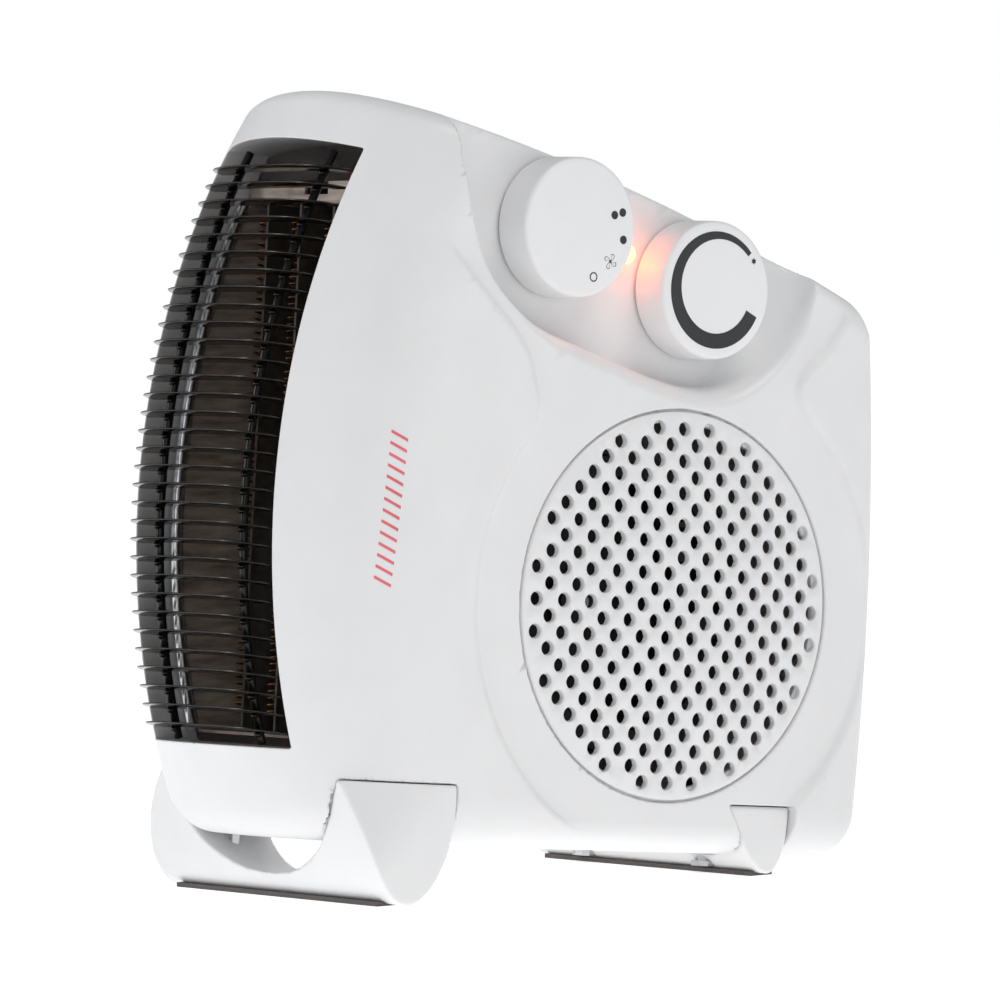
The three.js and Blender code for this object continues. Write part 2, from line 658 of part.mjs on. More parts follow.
function heatingCoil(x) {
  const { folds, front, back, halfWidth, thickness } = RIBBON;
  const [low, high] = [LINER.bottom + 6, LINER.top - 6];
  const rise = (high - low) / folds;
  const parts = [];
  for (let i = 0; i <= folds; i++) {
    const z = low + i * rise;
    parts.push(box([x - halfWidth, front, z], [x + halfWidth, back, z + thickness]));
    if (i === folds) break;
    const end = i % 2 ? front : back - thickness;
    parts.push(box([x - halfWidth, end, z], [x + halfWidth, end + thickness, z + rise + thickness]));
  }
  return wasm.Manifold.union(parts);
}

function thermalCutout() {
  const can = turnedX([[0, 0], [7, 0], [7, 5], [4, 6.5], [0, 6.5]], 0, 0, 20);
  return can.rotate([0, -90, 0]).translate([-14, -95.6, LINER.top + 0.4]);
}

function terminalBlock() {
  const block = box([-25, 26, -73.3], [-11, 51.5, -62]);
  const holes = [31, 40, 49].map((y) => rodZ(-18, y, 2, -69, -50, 10));
  return block.subtract(joined(holes));
}

const RED_WIRE = [
  [30, -57.3, 105], [30, -70, 109.5], [29, -86, 122], [28, -98, 129], [27, -106.5, 129],
  [26, -110, 124], [25.5, -110.6, 117],
];

// ---- cord entry ---------------------------------------------------------------------
const GLAND = { x: -26, z: -52 };

function cordGland() {
  const profile = [[3.6, -7], [6, -7], [6, 0.4], [8.6, 0.4], [8.6, 2.4], [3.6, 2.4], [3.6, -7]];
  const points = profile.map(([r, y]) => new THREE.Vector2(r, y));
  return solid(new THREE.LatheGeometry(points, 20).translate(GLAND.x, 79.1, GLAND.z));
}

// ---- materials and assembly ---------------------------------------------------------
const FINISH = {
  whitePlastic: { color: 0xeef0f2, roughness: 0.35, metalness: 0 },
  knobPlastic: { color: 0xf4f4f5, roughness: 0.3, metalness: 0 },
  blackPaint: { color: 0x0c0a0a, roughness: 0.25, metalness: 0.2 },
  zinc: { color: 0xb9bdc2, roughness: 0.35, metalness: 1 },
  steel: { color: 0x8d9196, roughness: 0.3, metalness: 1 },
  copper: { color: 0xa8643a, roughness: 0.4, metalness: 1 },
  nichrome: { color: 0x8b6b52, roughness: 0.45, metalness: 1 },
  mica: { color: 0xb9a98c, roughness: 0.6, metalness: 0 },
  darkPlastic: { color: 0x2b2b2c, roughness: 0.5, metalness: 0 },
  greyPlastic: { color: 0x77716a, roughness: 0.55, metalness: 0 },
  rubber: { color: 0x9a9a98, roughness: 0.8, metalness: 0 },
  redWire: { color: 0xb3151a, roughness: 0.4, metalness: 0 },
  lampGlass: { color: 0xff5a1e, roughness: 0.2, metalness: 0 },
};

const heater = new THREE.Group();
const casing = new THREE.Group();
casing.rotation.x = -LEAN;
casing.position.set(0, FRONT_TO_MIDDLE, AXIS_HEIGHT);
heater.add(casing);

function place(parent, name, shape, finish) {
  const mesh = new THREE.Mesh(geometryOf(shape), new THREE.MeshStandardMaterial(FINISH[finish]));
  mesh.name = name;
  parent.add(mesh);
  return mesh;
}

place(casing, 'near_shell', nearShell(), 'whitePlastic');
place(casing, 'far_shell', farShell(), 'whitePlastic');
place(casing, 'intake_grille', intakeGrille(), 'whitePlastic');
place(casing, 'far_vent_grille', ventGrille(), 'whitePlastic');
place(casing, 'outlet_grille', outletGrille(), 'blackPaint');

place(casing, 'selector_knob', knob(SELECTOR), 'knobPlastic');
place(casing, 'selector_shaft', shaft(SELECTOR), 'greyPlastic');
place(casing, 'rotary_switch', controlBody(SELECTOR, 11.5, 17), 'darkPlastic');
place(casing, 'thermostat_knob', knob(THERMOSTAT), 'knobPlastic');
place(casing, 'thermostat_shaft', shaft(THERMOSTAT), 'steel');
place(casing, 'thermostat', controlBody(THERMOSTAT, 10, 13), 'steel');
place(casing, 'indicator_lamp', lamp(), 'lampGlass');

place(casing, 'blower_scroll', blowerScroll(), 'greyPlastic');
place(casing, 'fan_impeller', impellerBlades(), 'darkPlastic');
place(casing, 'impeller_plate', impellerPlate(), 'darkPlastic');
place(casing, 'motor_shaft', motorShaft(), 'steel');
place(casing, 'motor_stator', motorStator(), 'steel');
place(casing, 'motor_coil', motorCoil().rotate([0, 0, 90]).translate([-23, 0, -27.6]), 'copper');
place(casing, 'motor_bracket_front', motorBracket(-11.6, 0), 'zinc');
place(casing, 'motor_bracket_rear', motorBracket(-40, 0), 'zinc');
place(casing, 'bearing_front', bearing(-12.8), 'copper');
place(casing, 'bearing_rear', bearing(-41.2), 'copper');

place(casing, 'duct_liner', ductLiner(), 'zinc');
BOARD_X.forEach((x, i) => place(casing, `mica_board_${i + 1}`, micaBoard(x), 'mica'));
COIL_X.forEach((x, i) => place(casing, `heating_coil_${i + 1}`, heatingCoil(x), 'nichrome'));
place(casing, 'thermal_cutout', thermalCutout(), 'darkPlastic');
place(casing, 'terminal_block', terminalBlock(), 'whitePlastic');
place(casing, 'power_wire', wire(RED_WIRE, 1.6, 16, 8), 'redWire');
place(casing, 'cord_gland', cordGland(), 'darkPlastic');

SCREWS.forEach((at, i) => place(casing, `casing_screw_${i + 1}`, casingScrew(at), 'steel'));

for (const [name, size] of Object.entries(FEET)) {
  const under = [-PAD.halfLength - 0.3, size.pad - PAD.width / 2 - 0.3, -1];
  const over = [PAD.halfLength + 0.3, size.pad + PAD.width / 2 + 0.3, PAD.thickness + 0.3];
  const seat = box(under, over);
  const toCasing = seat.translate([0, 0, -AXIS_HEIGHT]).rotate([LEAN * 180 / Math.PI, 0, 0]);
  place(casing, `${name}_foot`, foot(size).subtract(toCasing), 'whitePlastic');
  const pad = box([-PAD.halfLength, size.pad - PAD.width / 2, 0], [PAD.halfLength, size.pad + PAD.width / 2,
    PAD.thickness]).translate([0, FRONT_TO_MIDDLE, 0]);
  place(heater, `${name}_foot_pad`, pad, 'rubber');
  place(casing, `${name}_foot_screw_1`, footScrew(-FOOT_SCREW_X, size), 'steel');
  place(casing, `${name}_foot_screw_2`, footScrew(FOOT_SCREW_X, size), 'steel');
}

export default heater;
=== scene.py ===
"""Looks for the fan convector heater: moulded white casing, perforated intake, finned outlet, two knobs."""
import json
import math

import bmesh
import bpy
import numpy as np
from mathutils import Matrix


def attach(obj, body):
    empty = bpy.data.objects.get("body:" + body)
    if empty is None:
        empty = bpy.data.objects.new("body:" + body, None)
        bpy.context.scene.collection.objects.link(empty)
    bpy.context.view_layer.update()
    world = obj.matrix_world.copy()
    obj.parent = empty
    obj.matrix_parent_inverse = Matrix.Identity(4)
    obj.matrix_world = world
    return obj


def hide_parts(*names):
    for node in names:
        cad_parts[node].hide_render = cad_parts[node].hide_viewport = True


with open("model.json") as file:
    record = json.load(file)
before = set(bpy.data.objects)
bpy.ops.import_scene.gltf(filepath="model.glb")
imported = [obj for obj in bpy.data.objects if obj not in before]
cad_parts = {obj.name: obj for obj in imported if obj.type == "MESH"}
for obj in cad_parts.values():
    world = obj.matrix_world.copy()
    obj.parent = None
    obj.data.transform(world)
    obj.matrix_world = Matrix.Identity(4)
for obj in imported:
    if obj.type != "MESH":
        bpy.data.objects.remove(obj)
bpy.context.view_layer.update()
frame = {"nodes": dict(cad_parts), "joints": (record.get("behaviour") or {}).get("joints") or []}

import openvdb
from mathutils import Matrix, Vector
from mathutils.geometry import delaunay_2d_cdt

NODES = frame["nodes"]
JOINT = {j["name"]: [v * 1000 for v in j["pos_m"]] for j in frame["joints"]}

# ---- driving dimensions, in millimetres, in the casing's own leaning frame ----------------
# That frame has its origin on the fan axis, x towards the knobs, y towards the back, z up.
LEAN = math.radians(4.79)
FAN_AXIS = (0.0, JOINT["fan_spin"][1], JOINT["fan_spin"][2])
HALF_WIDTH = 59.0
SUNK_PLANE = 57.0
WALL = 2.5
FRONT_RADIUS, FRONT_Y, FRONT_Z = 237.0, 85.4, 23.6
NOSE_SET, NOSE_DEPTH = 10.9, 54.0
TOP_RADIUS, TOP_Y, TOP_Z, TOP_CROWN = 860.0, -243.0, -703.6, 6.8
BACK_Y, BACK_RADIUS, BACK_Z = 80.2, 900.0, -4.0
BOTTOM_Z = -77.0
MOUTH = {"half": 35.3, "low": -49.3, "high": 133.9, "crown": 3.2, "depth": 14.0}
DISC = {"radius": 60.4, "seat": 61.2, "dome": 3.3, "thickness": 2.2}
HOLE = {"spacing": 10.0, "radius": 2.3, "rows": (12, 11, 12, 11, 10, 11, 10, 9, 8, 7, 6, 3)}
RECESS_FLOOR = 43.0
KNOB = {"radius": 21.8, "face": 57.2, "gap": 0.8, "edge": 1.7}
LAMP = {"y": -17.5, "z": 108.5, "radius": 3.2}
SCREWS = ((-68, -60), (58, -60), (62, 74), (-68, 121))
GLAND = {"x": -26.0, "z": -52.0}


def to_row(points):
    """Casing frame in millimetres to the row frame in metres."""
    p = np.asarray(points, float)
    c, s = math.cos(LEAN), math.sin(LEAN)
    y = p[..., 1] * c + p[..., 2] * s + FAN_AXIS[1]
    z = -p[..., 1] * s + p[..., 2] * c + FAN_AXIS[2]
    return np.stack([p[..., 0], y, z], -1) / 1000


def from_row(point):
    """Row frame in millimetres to the casing frame's (y, z)."""
    c, s = math.cos(LEAN), math.sin(LEAN)
    y, z = point[1] - FAN_AXIS[1], point[2] - FAN_AXIS[2]
    return y * c - z * s, y * s + z * c


SELECTOR = from_row(JOINT["selector_turn"])
THERMOSTAT = from_row(JOINT["thermostat_turn"])


# ---- camera -------------------------------------------------------------------------------
def add_camera():
    azimuth, elevation, roll = (math.radians(v) for v in (52.038, -0.948, 2.942))
    right = np.array([math.cos(azimuth), math.sin(azimuth), 0])
    back = np.array([math.sin(azimuth) * math.cos(elevation),
                     -math.cos(azimuth) * math.cos(elevation), math.sin(elevation)])
    up = np.cross(back, right)
    rolled = (math.cos(roll) * right + math.sin(roll) * up,
              -math.sin(roll) * right + math.cos(roll) * up, back)
    turn = Matrix.Rotation(-LEAN, 3, "X") @ Matrix([tuple(v) for v in rolled]).transposed()
    data = bpy.data.cameras.new("camera")
    data.lens, data.sensor_width = 275.4, 36
    data.clip_end = 50
    camera = bpy.data.objects.new("camera", data)
    bpy.context.scene.collection.objects.link(camera)
    place = Vector(to_row([1895.73, -1505.63, -9.21]))
    camera.matrix_world = Matrix.Translation(place) @ turn.to_4x4()
    bpy.context.scene.camera = camera


add_camera()


# ---- meshes -------------------------------------------------------------------------------
def add_mesh(name, points, faces, normals=None, flat=False):
    """A mesh object from points in metres in the row frame, smooth unless flat."""
    mesh = bpy.data.meshes.new(name)
    mesh.from_pydata(np.asarray(points).tolist(), [], [tuple(int(i) for i in f) for f in faces])
    mesh.validate()
    mesh.shade_smooth() if not flat else mesh.shade_flat()
    if normals is not None and len(normals) == len(mesh.vertices):
        mesh.normals_split_custom_set_from_vertices(np.asarray(normals).tolist())
    piece = bpy.data.objects.new(name, mesh)
    bpy.context.scene.collection.objects.link(piece)
    return piece


def crisp(piece, degrees=35):
    """Smooth shading with sharp edges kept where faces meet at more than this angle."""
    piece.data.set_sharp_from_angle(angle=math.radians(degrees))
    return piece


def finished(piece, body, material, nodes=()):
    piece.data.materials.clear()
    piece.data.materials.append(material)
    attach(piece, body)
    if nodes:
        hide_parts(*nodes)
    return piece


def merged(parts):
    """Points and faces of several (points, faces) parts as one."""
    points, faces, start = [], [], 0
    for part_points, part_faces in parts:
        points.extend(part_points)
        faces.extend([tuple(i + start for i in f) for f in part_faces])
        start += len(part_points)
    return np.array(points), faces


def rings_to_faces(count, size, closed=False, capped=True):
    """Faces of a skin over `count` rings of `size` points."""
    faces = []
    for k in range(count if closed else count - 1):
        a, b = k * size, (k + 1) % count * size
        faces += [(a + i, a + (i + 1) % size, b + (i + 1) % size, b + i) for i in range(size)]
    if capped and not closed:
        faces.append(tuple(range(size))[::-1])
        faces.append(tuple((count - 1) * size + i for i in range(size)))
    return faces


def swept(path, section, side):
    """Points and faces of a section of (out, across) pairs carried along a path.
    side gives each path point's `across` direction."""
    path, side = np.asarray(path, float), np.asarray(side, float)
    along = np.gradient(path, axis=0)
    along /= np.linalg.norm(along, axis=1)[:, None]
    across = side - (side * along).sum(1)[:, None] * along
    across /= np.linalg.norm(across, axis=1)[:, None]
    out = np.cross(along, across)
    section = np.asarray(section, float)
    points = (path[:, None] + out[:, None] * section[None, :, :1] + across[:, None] * section[None, :, 1:])
    return points.reshape(-1, 3), rings_to_faces(len(path), len(section))


def round_section(radius, sides=10):
    turns = np.arange(sides) / sides * 2 * math.pi
    return np.stack([radius * np.cos(turns), radius * np.sin(turns)], -1)


def turned(profile, y, z, sides=128):
    """Points and faces of a closed [radius, x] profile turned about an axis along x through (y, z)."""
    turns = np.arange(sides) / sides * 2 * math.pi
    rings = [[(x, y + r * math.cos(t), z + r * math.sin(t)) for r, x in profile] for t in turns]
    return np.array(rings).reshape(-1, 3), rings_to_faces(sides, len(profile), closed=True)


def rounded_profile(corners, steps=5):
    """An outline of (point, radius) corners with each corner rounded."""
    outline = []
    for k, (corner, radius) in enumerate(corners):
        corner = np.array(corner, float)
        before = np.array(corners[k - 1][0], float) - corner
        after = np.array(corners[(k + 1) % len(corners)][0], float) - corner
        if radius == 0:
            outline.append(tuple(corner))
            continue
        a = corner + before / np.linalg.norm(before) * radius
        b = corner + after / np.linalg.norm(after) * radius
        for t in np.linspace(0, 1, steps + 1):
            outline.append(tuple((1 - t) ** 2 * a + 2 * t * (1 - t) * corner + t ** 2 * b))
    return outline


# ---- solids as signed distances -----------------------------------------------------------
def smoothstep(value, low, high):
    t = np.clip((value - low) / (high - low), 0, 1)
    return t * t * (3 - 2 * t)


def meet(a, b, radius):
    """Where both solids are, with the edge between them rounded."""
    u, v = np.maximum(a + radius, 0), np.maximum(b + radius, 0)
    return np.minimum(np.maximum(a, b), -radius) + np.sqrt(u * u + v * v)


def join(a, b, radius):
    return -meet(-a, -b, radius)


def cut(a, b, radius):
    """Solid a without solid b, with the new edge rounded."""
    return meet(a, -b, radius)


def drop(radius, offset):
    return np.sqrt(np.maximum(radius * radius - offset * offset, 1.0))


def mouth_edge(z):
    """y of the outlet opening's edge at height z."""
    return FRONT_Y + NOSE_SET - drop(FRONT_RADIUS, z - FRONT_Z)


def spline(points, per_span=8):
    """A smooth line through the points."""
    p = np.array([2 * np.array(points[0]) - points[1], *points, 2 * np.array(points[-1]) - points[-2]], float)
    line = []
    for a, b, c, d in zip(p, p[1:], p[2:], p[3:]):
        for t in np.arange(per_span) / per_span:
            line.append(0.5 * (2 * b + (c - a) * t + (2 * a - 5 * b + 4 * c - d) * t ** 2
                               + (3 * b - a - 3 * c + d) * t ** 3))
    return [tuple(q) for q in line] + [tuple(points[-1])]


def outline_distance(points):
    """The signed distance to a closed outline in (y, z), negative inside."""
    def distance(y, z):
        y, z = np.broadcast_arrays(y, z)
        nearest = np.full(y.shape, 1e9)
        inside = np.zeros(y.shape, bool)
        for (ay, az), (by, bz) in zip(points, points[1:] + points[:1]):
            ey, ez = by - ay, bz - az
            t = np.clip(((y - ay) * ey + (z - az) * ez) / max(ey * ey + ez * ez, 1e-9), 0, 1)
            nearest = np.minimum(nearest, (y - ay - t * ey) ** 2 + (z - az - t * ez) ** 2)
            crosses = (az > z) != (bz > z)
            inside ^= crosses & (y < ay + (z - az) * ey / (ez if ez else 1))
        return np.where(inside, -1, 1) * np.sqrt(nearest)
    return distance


class Map:
    """A function of (y, z) kept on a grid and read back through cubic splines, so that it is smooth."""
    def __init__(self, function, low=(-175, -110), high=(110, 200), step=1.0):
        self.low, self.step = low, step
        self.y = np.arange(low[0], high[0] + step, step)
        self.z = np.arange(low[1], high[1] + step, step)
        self.values = function(self.y[:, None], self.z[None, :])

    def __call__(self, y, z):
        y, z = np.broadcast_arrays(y, z)
        spots = []
        for value, low, axis in ((y, self.low[0], self.y), (z, self.low[1], self.z)):
            at = np.clip((value - low) / self.step, 1, len(axis) - 3.001)
            i = np.floor(at).astype(int)
            t = at - i
            spots.append((i, ((1 - t) ** 3 / 6, (3 * t ** 3 - 6 * t ** 2 + 4) / 6,
                              (-3 * t ** 3 + 3 * t ** 2 + 3 * t + 1) / 6, t ** 3 / 6)))
        (i, wy), (j, wz) = spots
        total = 0
        for a in range(4):
            for b in range(4):
                total = total + wy[a] * wz[b] * self.values[i + a - 1, j + b - 1]
        return total


def graded(low, high, step, fine=()):
    """Grid lines from low to high, `step` apart, and closer in each fine (from, to, step) span."""
    lines = [low]
    while lines[-1] < high:
        lines.append(lines[-1] + next((s for a, b, s in fine if a <= lines[-1] < b), step))
    return np.array(lines)


def slope_of(field, p):
    h = 0.04
    px, py, pz = p.T
    slope = np.stack([field(px + h, py, pz) - field(px - h, py, pz),
                      field(px, py + h, pz) - field(px, py - h, pz),
                      field(px, py, pz + h) - field(px, py, pz - h)], -1) / (2 * h)
    return slope, np.maximum(np.linalg.norm(slope, axis=1), 0.2)


def onto_surface(field, p, reach, free=(1, 1, 1)):
    """Moves points onto the surface along its own slope, each time by `reach` at most."""
    for _ in range(3):
        slope, size = slope_of(field, p)
        move = np.clip(field(*p.T) / size, -reach, reach)
        p = p - slope / size[:, None] * move[:, None] * np.array(free)
    return p


def skinned(name, field, axes, adaptivity=0.0, from_x=None, mirror=False, follow=None):
    """A mesh of the surface where a solid's signed distance is zero, found on the grid of the three axes.
    Every point is then moved exactly onto the surface and takes the surface's own normal.
    from_x cuts the solid off flat below that x, with a sharp edge; mirror puts it at -x instead;
    follow(z) slides the grid along y so that its fine part keeps to a curved edge."""
    follow = follow or np.zeros_like
    step = max(float(np.median(np.diff(axis))) for axis in axes)
    x, y, z = axes
    reach = 3 * step

    def whole(px, py, pz):
        value = field(px, py, pz)
        return value if from_x is None else np.maximum(value, from_x - px)
    grid = openvdb.FloatGrid(reach)
    values = whole(x[:, None, None], (y[:, None] + follow(z))[None], z[None, None, :])
    values = np.broadcast_to(values, [len(axis) for axis in axes])
    grid.copyFromArray(np.ascontiguousarray(np.clip(values, -reach, reach), dtype=np.float32))
    spots, triangles, quads = grid.convertToPolygons(isovalue=0.0, adaptivity=adaptivity)
    p = np.stack([np.interp(spots[:, k], np.arange(len(axis)), axis) for k, axis in enumerate(axes)], -1)
    p[:, 1] += follow(p[:, 2])
    p = onto_surface(whole, p, 0.7 * step)
    slope, size = slope_of(whole, p)
    if from_x is not None:
        edge = (np.abs(p[:, 0] - from_x) < 0.55 * step) & (np.abs(field(*p.T)) < 0.55 * step)
        corner = p[edge]
        corner[:, 0] = from_x
        corner = onto_surface(field, corner, 0.7 * step, free=(0, 1, 1))
        p[edge] = corner
        slope[edge], size[edge] = slope_of(field, corner)
    normals = slope / size[:, None]
    faces = [tuple(f) for f in triangles] + [tuple(f) for f in quads]
    some = np.array([f[:3] for f in faces[:: max(1, len(faces) // 2000)]])
    a, b, c = p[some[:, 0]], p[some[:, 1]], p[some[:, 2]]
    inside_out = (np.cross(b - a, c - a) * normals[some[:, 0]]).sum() < 0
    if mirror:
        p[:, 0], normals[:, 0] = -p[:, 0], -normals[:, 0]
    if inside_out != mirror:
        faces = [f[::-1] for f in faces]
    c, s = math.cos(LEAN), math.sin(LEAN)
    turned_normals = np.stack([normals[:, 0], normals[:, 1] * c + normals[:, 2] * s,
                               -normals[:, 1] * s + normals[:, 2] * c], -1)
    return add_mesh(name, to_row(p), faces, turned_normals)


# ---- the casing's form --------------------------------------------------------------------
def casing(x, y, z):
    """The whole casing without its details, on the near side (x > 0)."""
    across = np.clip(np.abs(x) / HALF_WIDTH, 0, 1.05)
    reach = drop(FRONT_RADIUS, z - FRONT_Z)
    front = FRONT_Y - reach
    steep = np.sqrt(1 + ((z - FRONT_Z) / reach) ** 2)
    q = np.maximum((front + NOSE_DEPTH - y) / NOSE_DEPTH, 0)
    size = np.maximum(np.sqrt(across ** 2 + q ** 2), 1e-3)
    slope = np.sqrt((across / HALF_WIDTH) ** 2 + (q * steep / NOSE_DEPTH) ** 2) / size
    side = (np.sqrt(np.abs(x) ** 2 / HALF_WIDTH ** 2 + q ** 2) - 1) / slope

    top_reach = drop(TOP_RADIUS, y - TOP_Y)
    top = z - TOP_Z - top_reach - TOP_CROWN * (1 - across ** 2)
    top = top / np.sqrt(1 + ((y - TOP_Y) / top_reach) ** 2)
    back = y - BACK_Y + (z - BACK_Z) ** 2 / (2 * BACK_RADIUS)
    bottom = BOTTOM_Z - z

    form = meet(side, back, 6.0)
    form = meet(form, top, 4 + 2 * smoothstep(y, -125, -85) + 3 * smoothstep(y, 35, 75))
    return meet(form, bottom, 8 + 6 * smoothstep(np.abs(x), 15, 52))


# The sunken field round the disc: a circle with a flared neck up to the recess.
FIELD_RADIUS = 78.5
NECK_LEFT = [(-48, 40), (-58, 62), (-62, 73), (-68.2, 81.4), (-80.6, 92.8), (-92, 103), (-101, 112),
             (-112, 122)]
NECK_RIGHT = [(67, 150), (67, 110), (63.5, 96), (56.1, 85), (48.8, 77.6), (43.2, 70.3), (42.5, 62), (46, 40)]


def keyhole(y, z):
    circle = np.sqrt(y * y + z * z) - FIELD_RADIUS
    neck = outline_distance(spline(NECK_LEFT) + [(-112, 220), (67, 220)] + spline(NECK_RIGHT))(y, z)
    return join(circle, neck, 9.0)


# The recess that holds the knobs: its wall, from the front round to the back, open at the top.
RECESS_WALL = [
    (-90.1, 131.7), (-88, 122.8), (-85.1, 113.8), (-80.5, 103.5), (-73.8, 94.8), (-64, 87.6),
    (-52.7, 83.2), (-36.7, 78.6), (-20.5, 74), (-6, 70.4), (8, 68.6), (22, 70.6), (34, 77.6),
    (43, 87), (49, 97), (52, 107),
]

KEYHOLE = Map(keyhole)
RECESS = Map(outline_distance([(-90.8, 230)] + spline(RECESS_WALL) + [(53, 230)]))
CIRCLE = Map(lambda y, z: np.sqrt(y * y + z * z) - FIELD_RADIUS)


def sunk(form, distance, x, y, z):
    """The form with a field sunk to SUNK_PLANE where distance < 0, and a soft step at its edge."""
    d = distance(y, z)
    step = 0.5 * (d + np.sqrt(d * d + 0.5))
    return meet(form, (x - SUNK_PLANE - 1.5 * step) / 1.8, 1.0)


def below_top(y, z):
    return TOP_Z + drop(TOP_RADIUS, y - TOP_Y) - z


def with_recess(form, x, y, z):
    """The pocket for the knobs: a steep wall with a crisp front lip, and a wide scoop at the back."""
    scoop = smoothstep(y, 12, 44)
    pocket = meet(RECESS(y, z), RECESS_FLOOR - x, 2.2 + 10.5 * scoop)
    round_lip = 1.8 + 3.8 * smoothstep(y, -72, -50) - 2.8 * scoop
    lip = round_lip * smoothstep(below_top(y, z), 14 - 12 * scoop, 48 - 26 * scoop) + 1.2
    return cut(form, pocket, lip)


def mouth(x, y, z, depth):
    arch = MOUTH["high"] + MOUTH["crown"] * (1 - np.clip(np.abs(x) / MOUTH["half"], 0, 1.2) ** 2)
    across = meet(np.abs(x) - MOUTH["half"], z - arch, 0.7)
    across = meet(across, MOUTH["low"] - z, 0.7)
    return np.maximum(across, (y - mouth_edge(z) - depth) * 0.9)


def round_pocket(x, y, z, centre, radius, floor):
    return np.maximum(np.sqrt((y - centre[0]) ** 2 + (z - centre[1]) ** 2) - radius, floor - x)


# ---- the feet's form ----------------------------------------------------------------------
FEET = {
    "front": {"front": (-118.9, -58), "back": (-83.3, -58), "low": (-100.3, -94.9), "half": 59.3,
              "swell": (0.13, 0.38, 0.425)},
    "rear": {"front": (26.7, -61.4), "back": (51.5, -61.4), "low": (44.2, -82.4), "half": 55.8,
             "swell": (0.4, 0.58, 0.68)},
}
CRADLE_HALF, CRADLE_ROUND, CRADLE_GAP = 50.0, 16.0, 0.4
POCKET_GAP = 0.35
# Where the casing's nose would lie ahead of the front foot, how it falls back, and its slant.
FOOT_NOSE = {"y": -140.8, "z": -61, "slope": 0.815, "slant": 1.29}
# Front view of the front foot's hollow, from the middle up one side.
ARCH = [(4, -88.1), (13, -87), (22, -84), (30, -79.5), (35.5, -74), (39, -69), (45, -58), (49.4, -50)]


def bezier(a, b, c, d, steps=14):
    t = np.arange(steps)[:, None] / steps
    a, b, c, d = (np.array(v, float) for v in (a, b, c, d))
    curve = (1 - t) ** 3 * a + 3 * t * (1 - t) ** 2 * b + 3 * t * t * (1 - t) * c + t ** 3 * d
    return [tuple(v) for v in curve]


def foot_outline(foot):
    """The D-shaped section: flat on top, round below."""
    (front_y, top), (back_y, _), (low_y, low_z) = foot["front"], foot["back"], foot["low"]
    ahead, behind, depth = low_y - front_y, back_y - low_y, top - low_z
    first, drop_to, second = foot["swell"]
    outline = bezier((front_y, top), (front_y + first * ahead, top - drop_to * depth),
                     (front_y + second * ahead, low_z), (low_y, low_z))
    outline += bezier((low_y, low_z), (low_y + 0.5 * behind, low_z),
                      (back_y + 0.1 * behind, low_z + 0.42 * depth), (back_y, top))
    return outline + [(back_y, top)]


def arch_outline():
    side = spline(ARCH) + [(ARCH[-1][0], 0)]
    return side + [(-x, z) for x, z in side[::-1]]


SECTION = {name: Map(outline_distance(foot_outline(foot)), step=0.5) for name, foot in FEET.items()}
ARCH_MAP = Map(outline_distance(arch_outline()), (-75, -110), (75, -20), 0.5)


def cradle(name, x, z, clear):
    """The hollow between a foot's two horns, which the casing's bottom sits in."""
    if name == "front":
        return ARCH_MAP(x, z) - clear
    return meet(np.abs(x) - CRADLE_HALF - clear, BOTTOM_Z - CRADLE_GAP - clear - z, CRADLE_ROUND)


def foot_end(name, x, y, z):
    """Beyond a foot's ends. The front foot's are rounded like the nose in plan, more so towards the tips."""
    half = FEET[name]["half"]
    if name == "rear":
        return np.abs(x) - half
    nose = FOOT_NOSE["y"] + FOOT_NOSE["slope"] * (z - FOOT_NOSE["z"])
    q = np.maximum((nose + NOSE_DEPTH - y) / NOSE_DEPTH, 0)
    across = np.abs(x) / half
    size = np.maximum(np.sqrt(across ** 2 + q ** 2), 1e-3)
    slope = np.sqrt((across / half) ** 2 + (q * FOOT_NOSE["slant"] / NOSE_DEPTH) ** 2 + 1e-9)
    return (size - 1) * size / slope


def foot_solid(name):
    """The named foot's field."""
    def solid(x, y, z):
        bar = meet(SECTION[name](y, z), foot_end(name, x, y, z), 0.9)
        return cut(bar, cradle(name, x, z, 0.0), 0.8)
    return solid


def horn_pockets(form, x, y, z):
    """The form with a close pocket for each foot's horns."""
    for name in FEET:
        pocket = cut(SECTION[name](y, z) - POCKET_GAP, cradle(name, x, z, -POCKET_GAP), 0.3)
        form = cut(form, pocket, 0.4)
    return form


# ---- casing halves ------------------------------------------------------------------------
def hollowed(form):
    return np.maximum(form, -(form + WALL))


def near_half(x, y, z):
    form = sunk(casing(x, y, z), KEYHOLE, x, y, z)
    form = with_recess(form, x, y, z)
    form = horn_pockets(form, x, y, z)
    form = cut(form, mouth(x, y, z, MOUTH["depth"]), 0.4)
    form = cut(form, round_pocket(x, y, z, (0, 0), DISC["seat"], SUNK_PLANE - 1.9), 0.45)
    shell = hollowed(form)
    shell = np.maximum(shell, -mouth(x, y, z, MOUTH["depth"] + 12))
    shell = np.maximum(shell, -round_pocket(x, y, z, (0, 0), DISC["radius"] - 3.4, 30))
    for place in (SELECTOR, THERMOSTAT):
        shell = np.maximum(shell, -round_pocket(x, y, z, place, 4.4, 30))
    shell = np.maximum(shell, -round_pocket(x, y, z, (LAMP["y"], LAMP["z"]), LAMP["radius"] + 0.3, 30))
    return shell


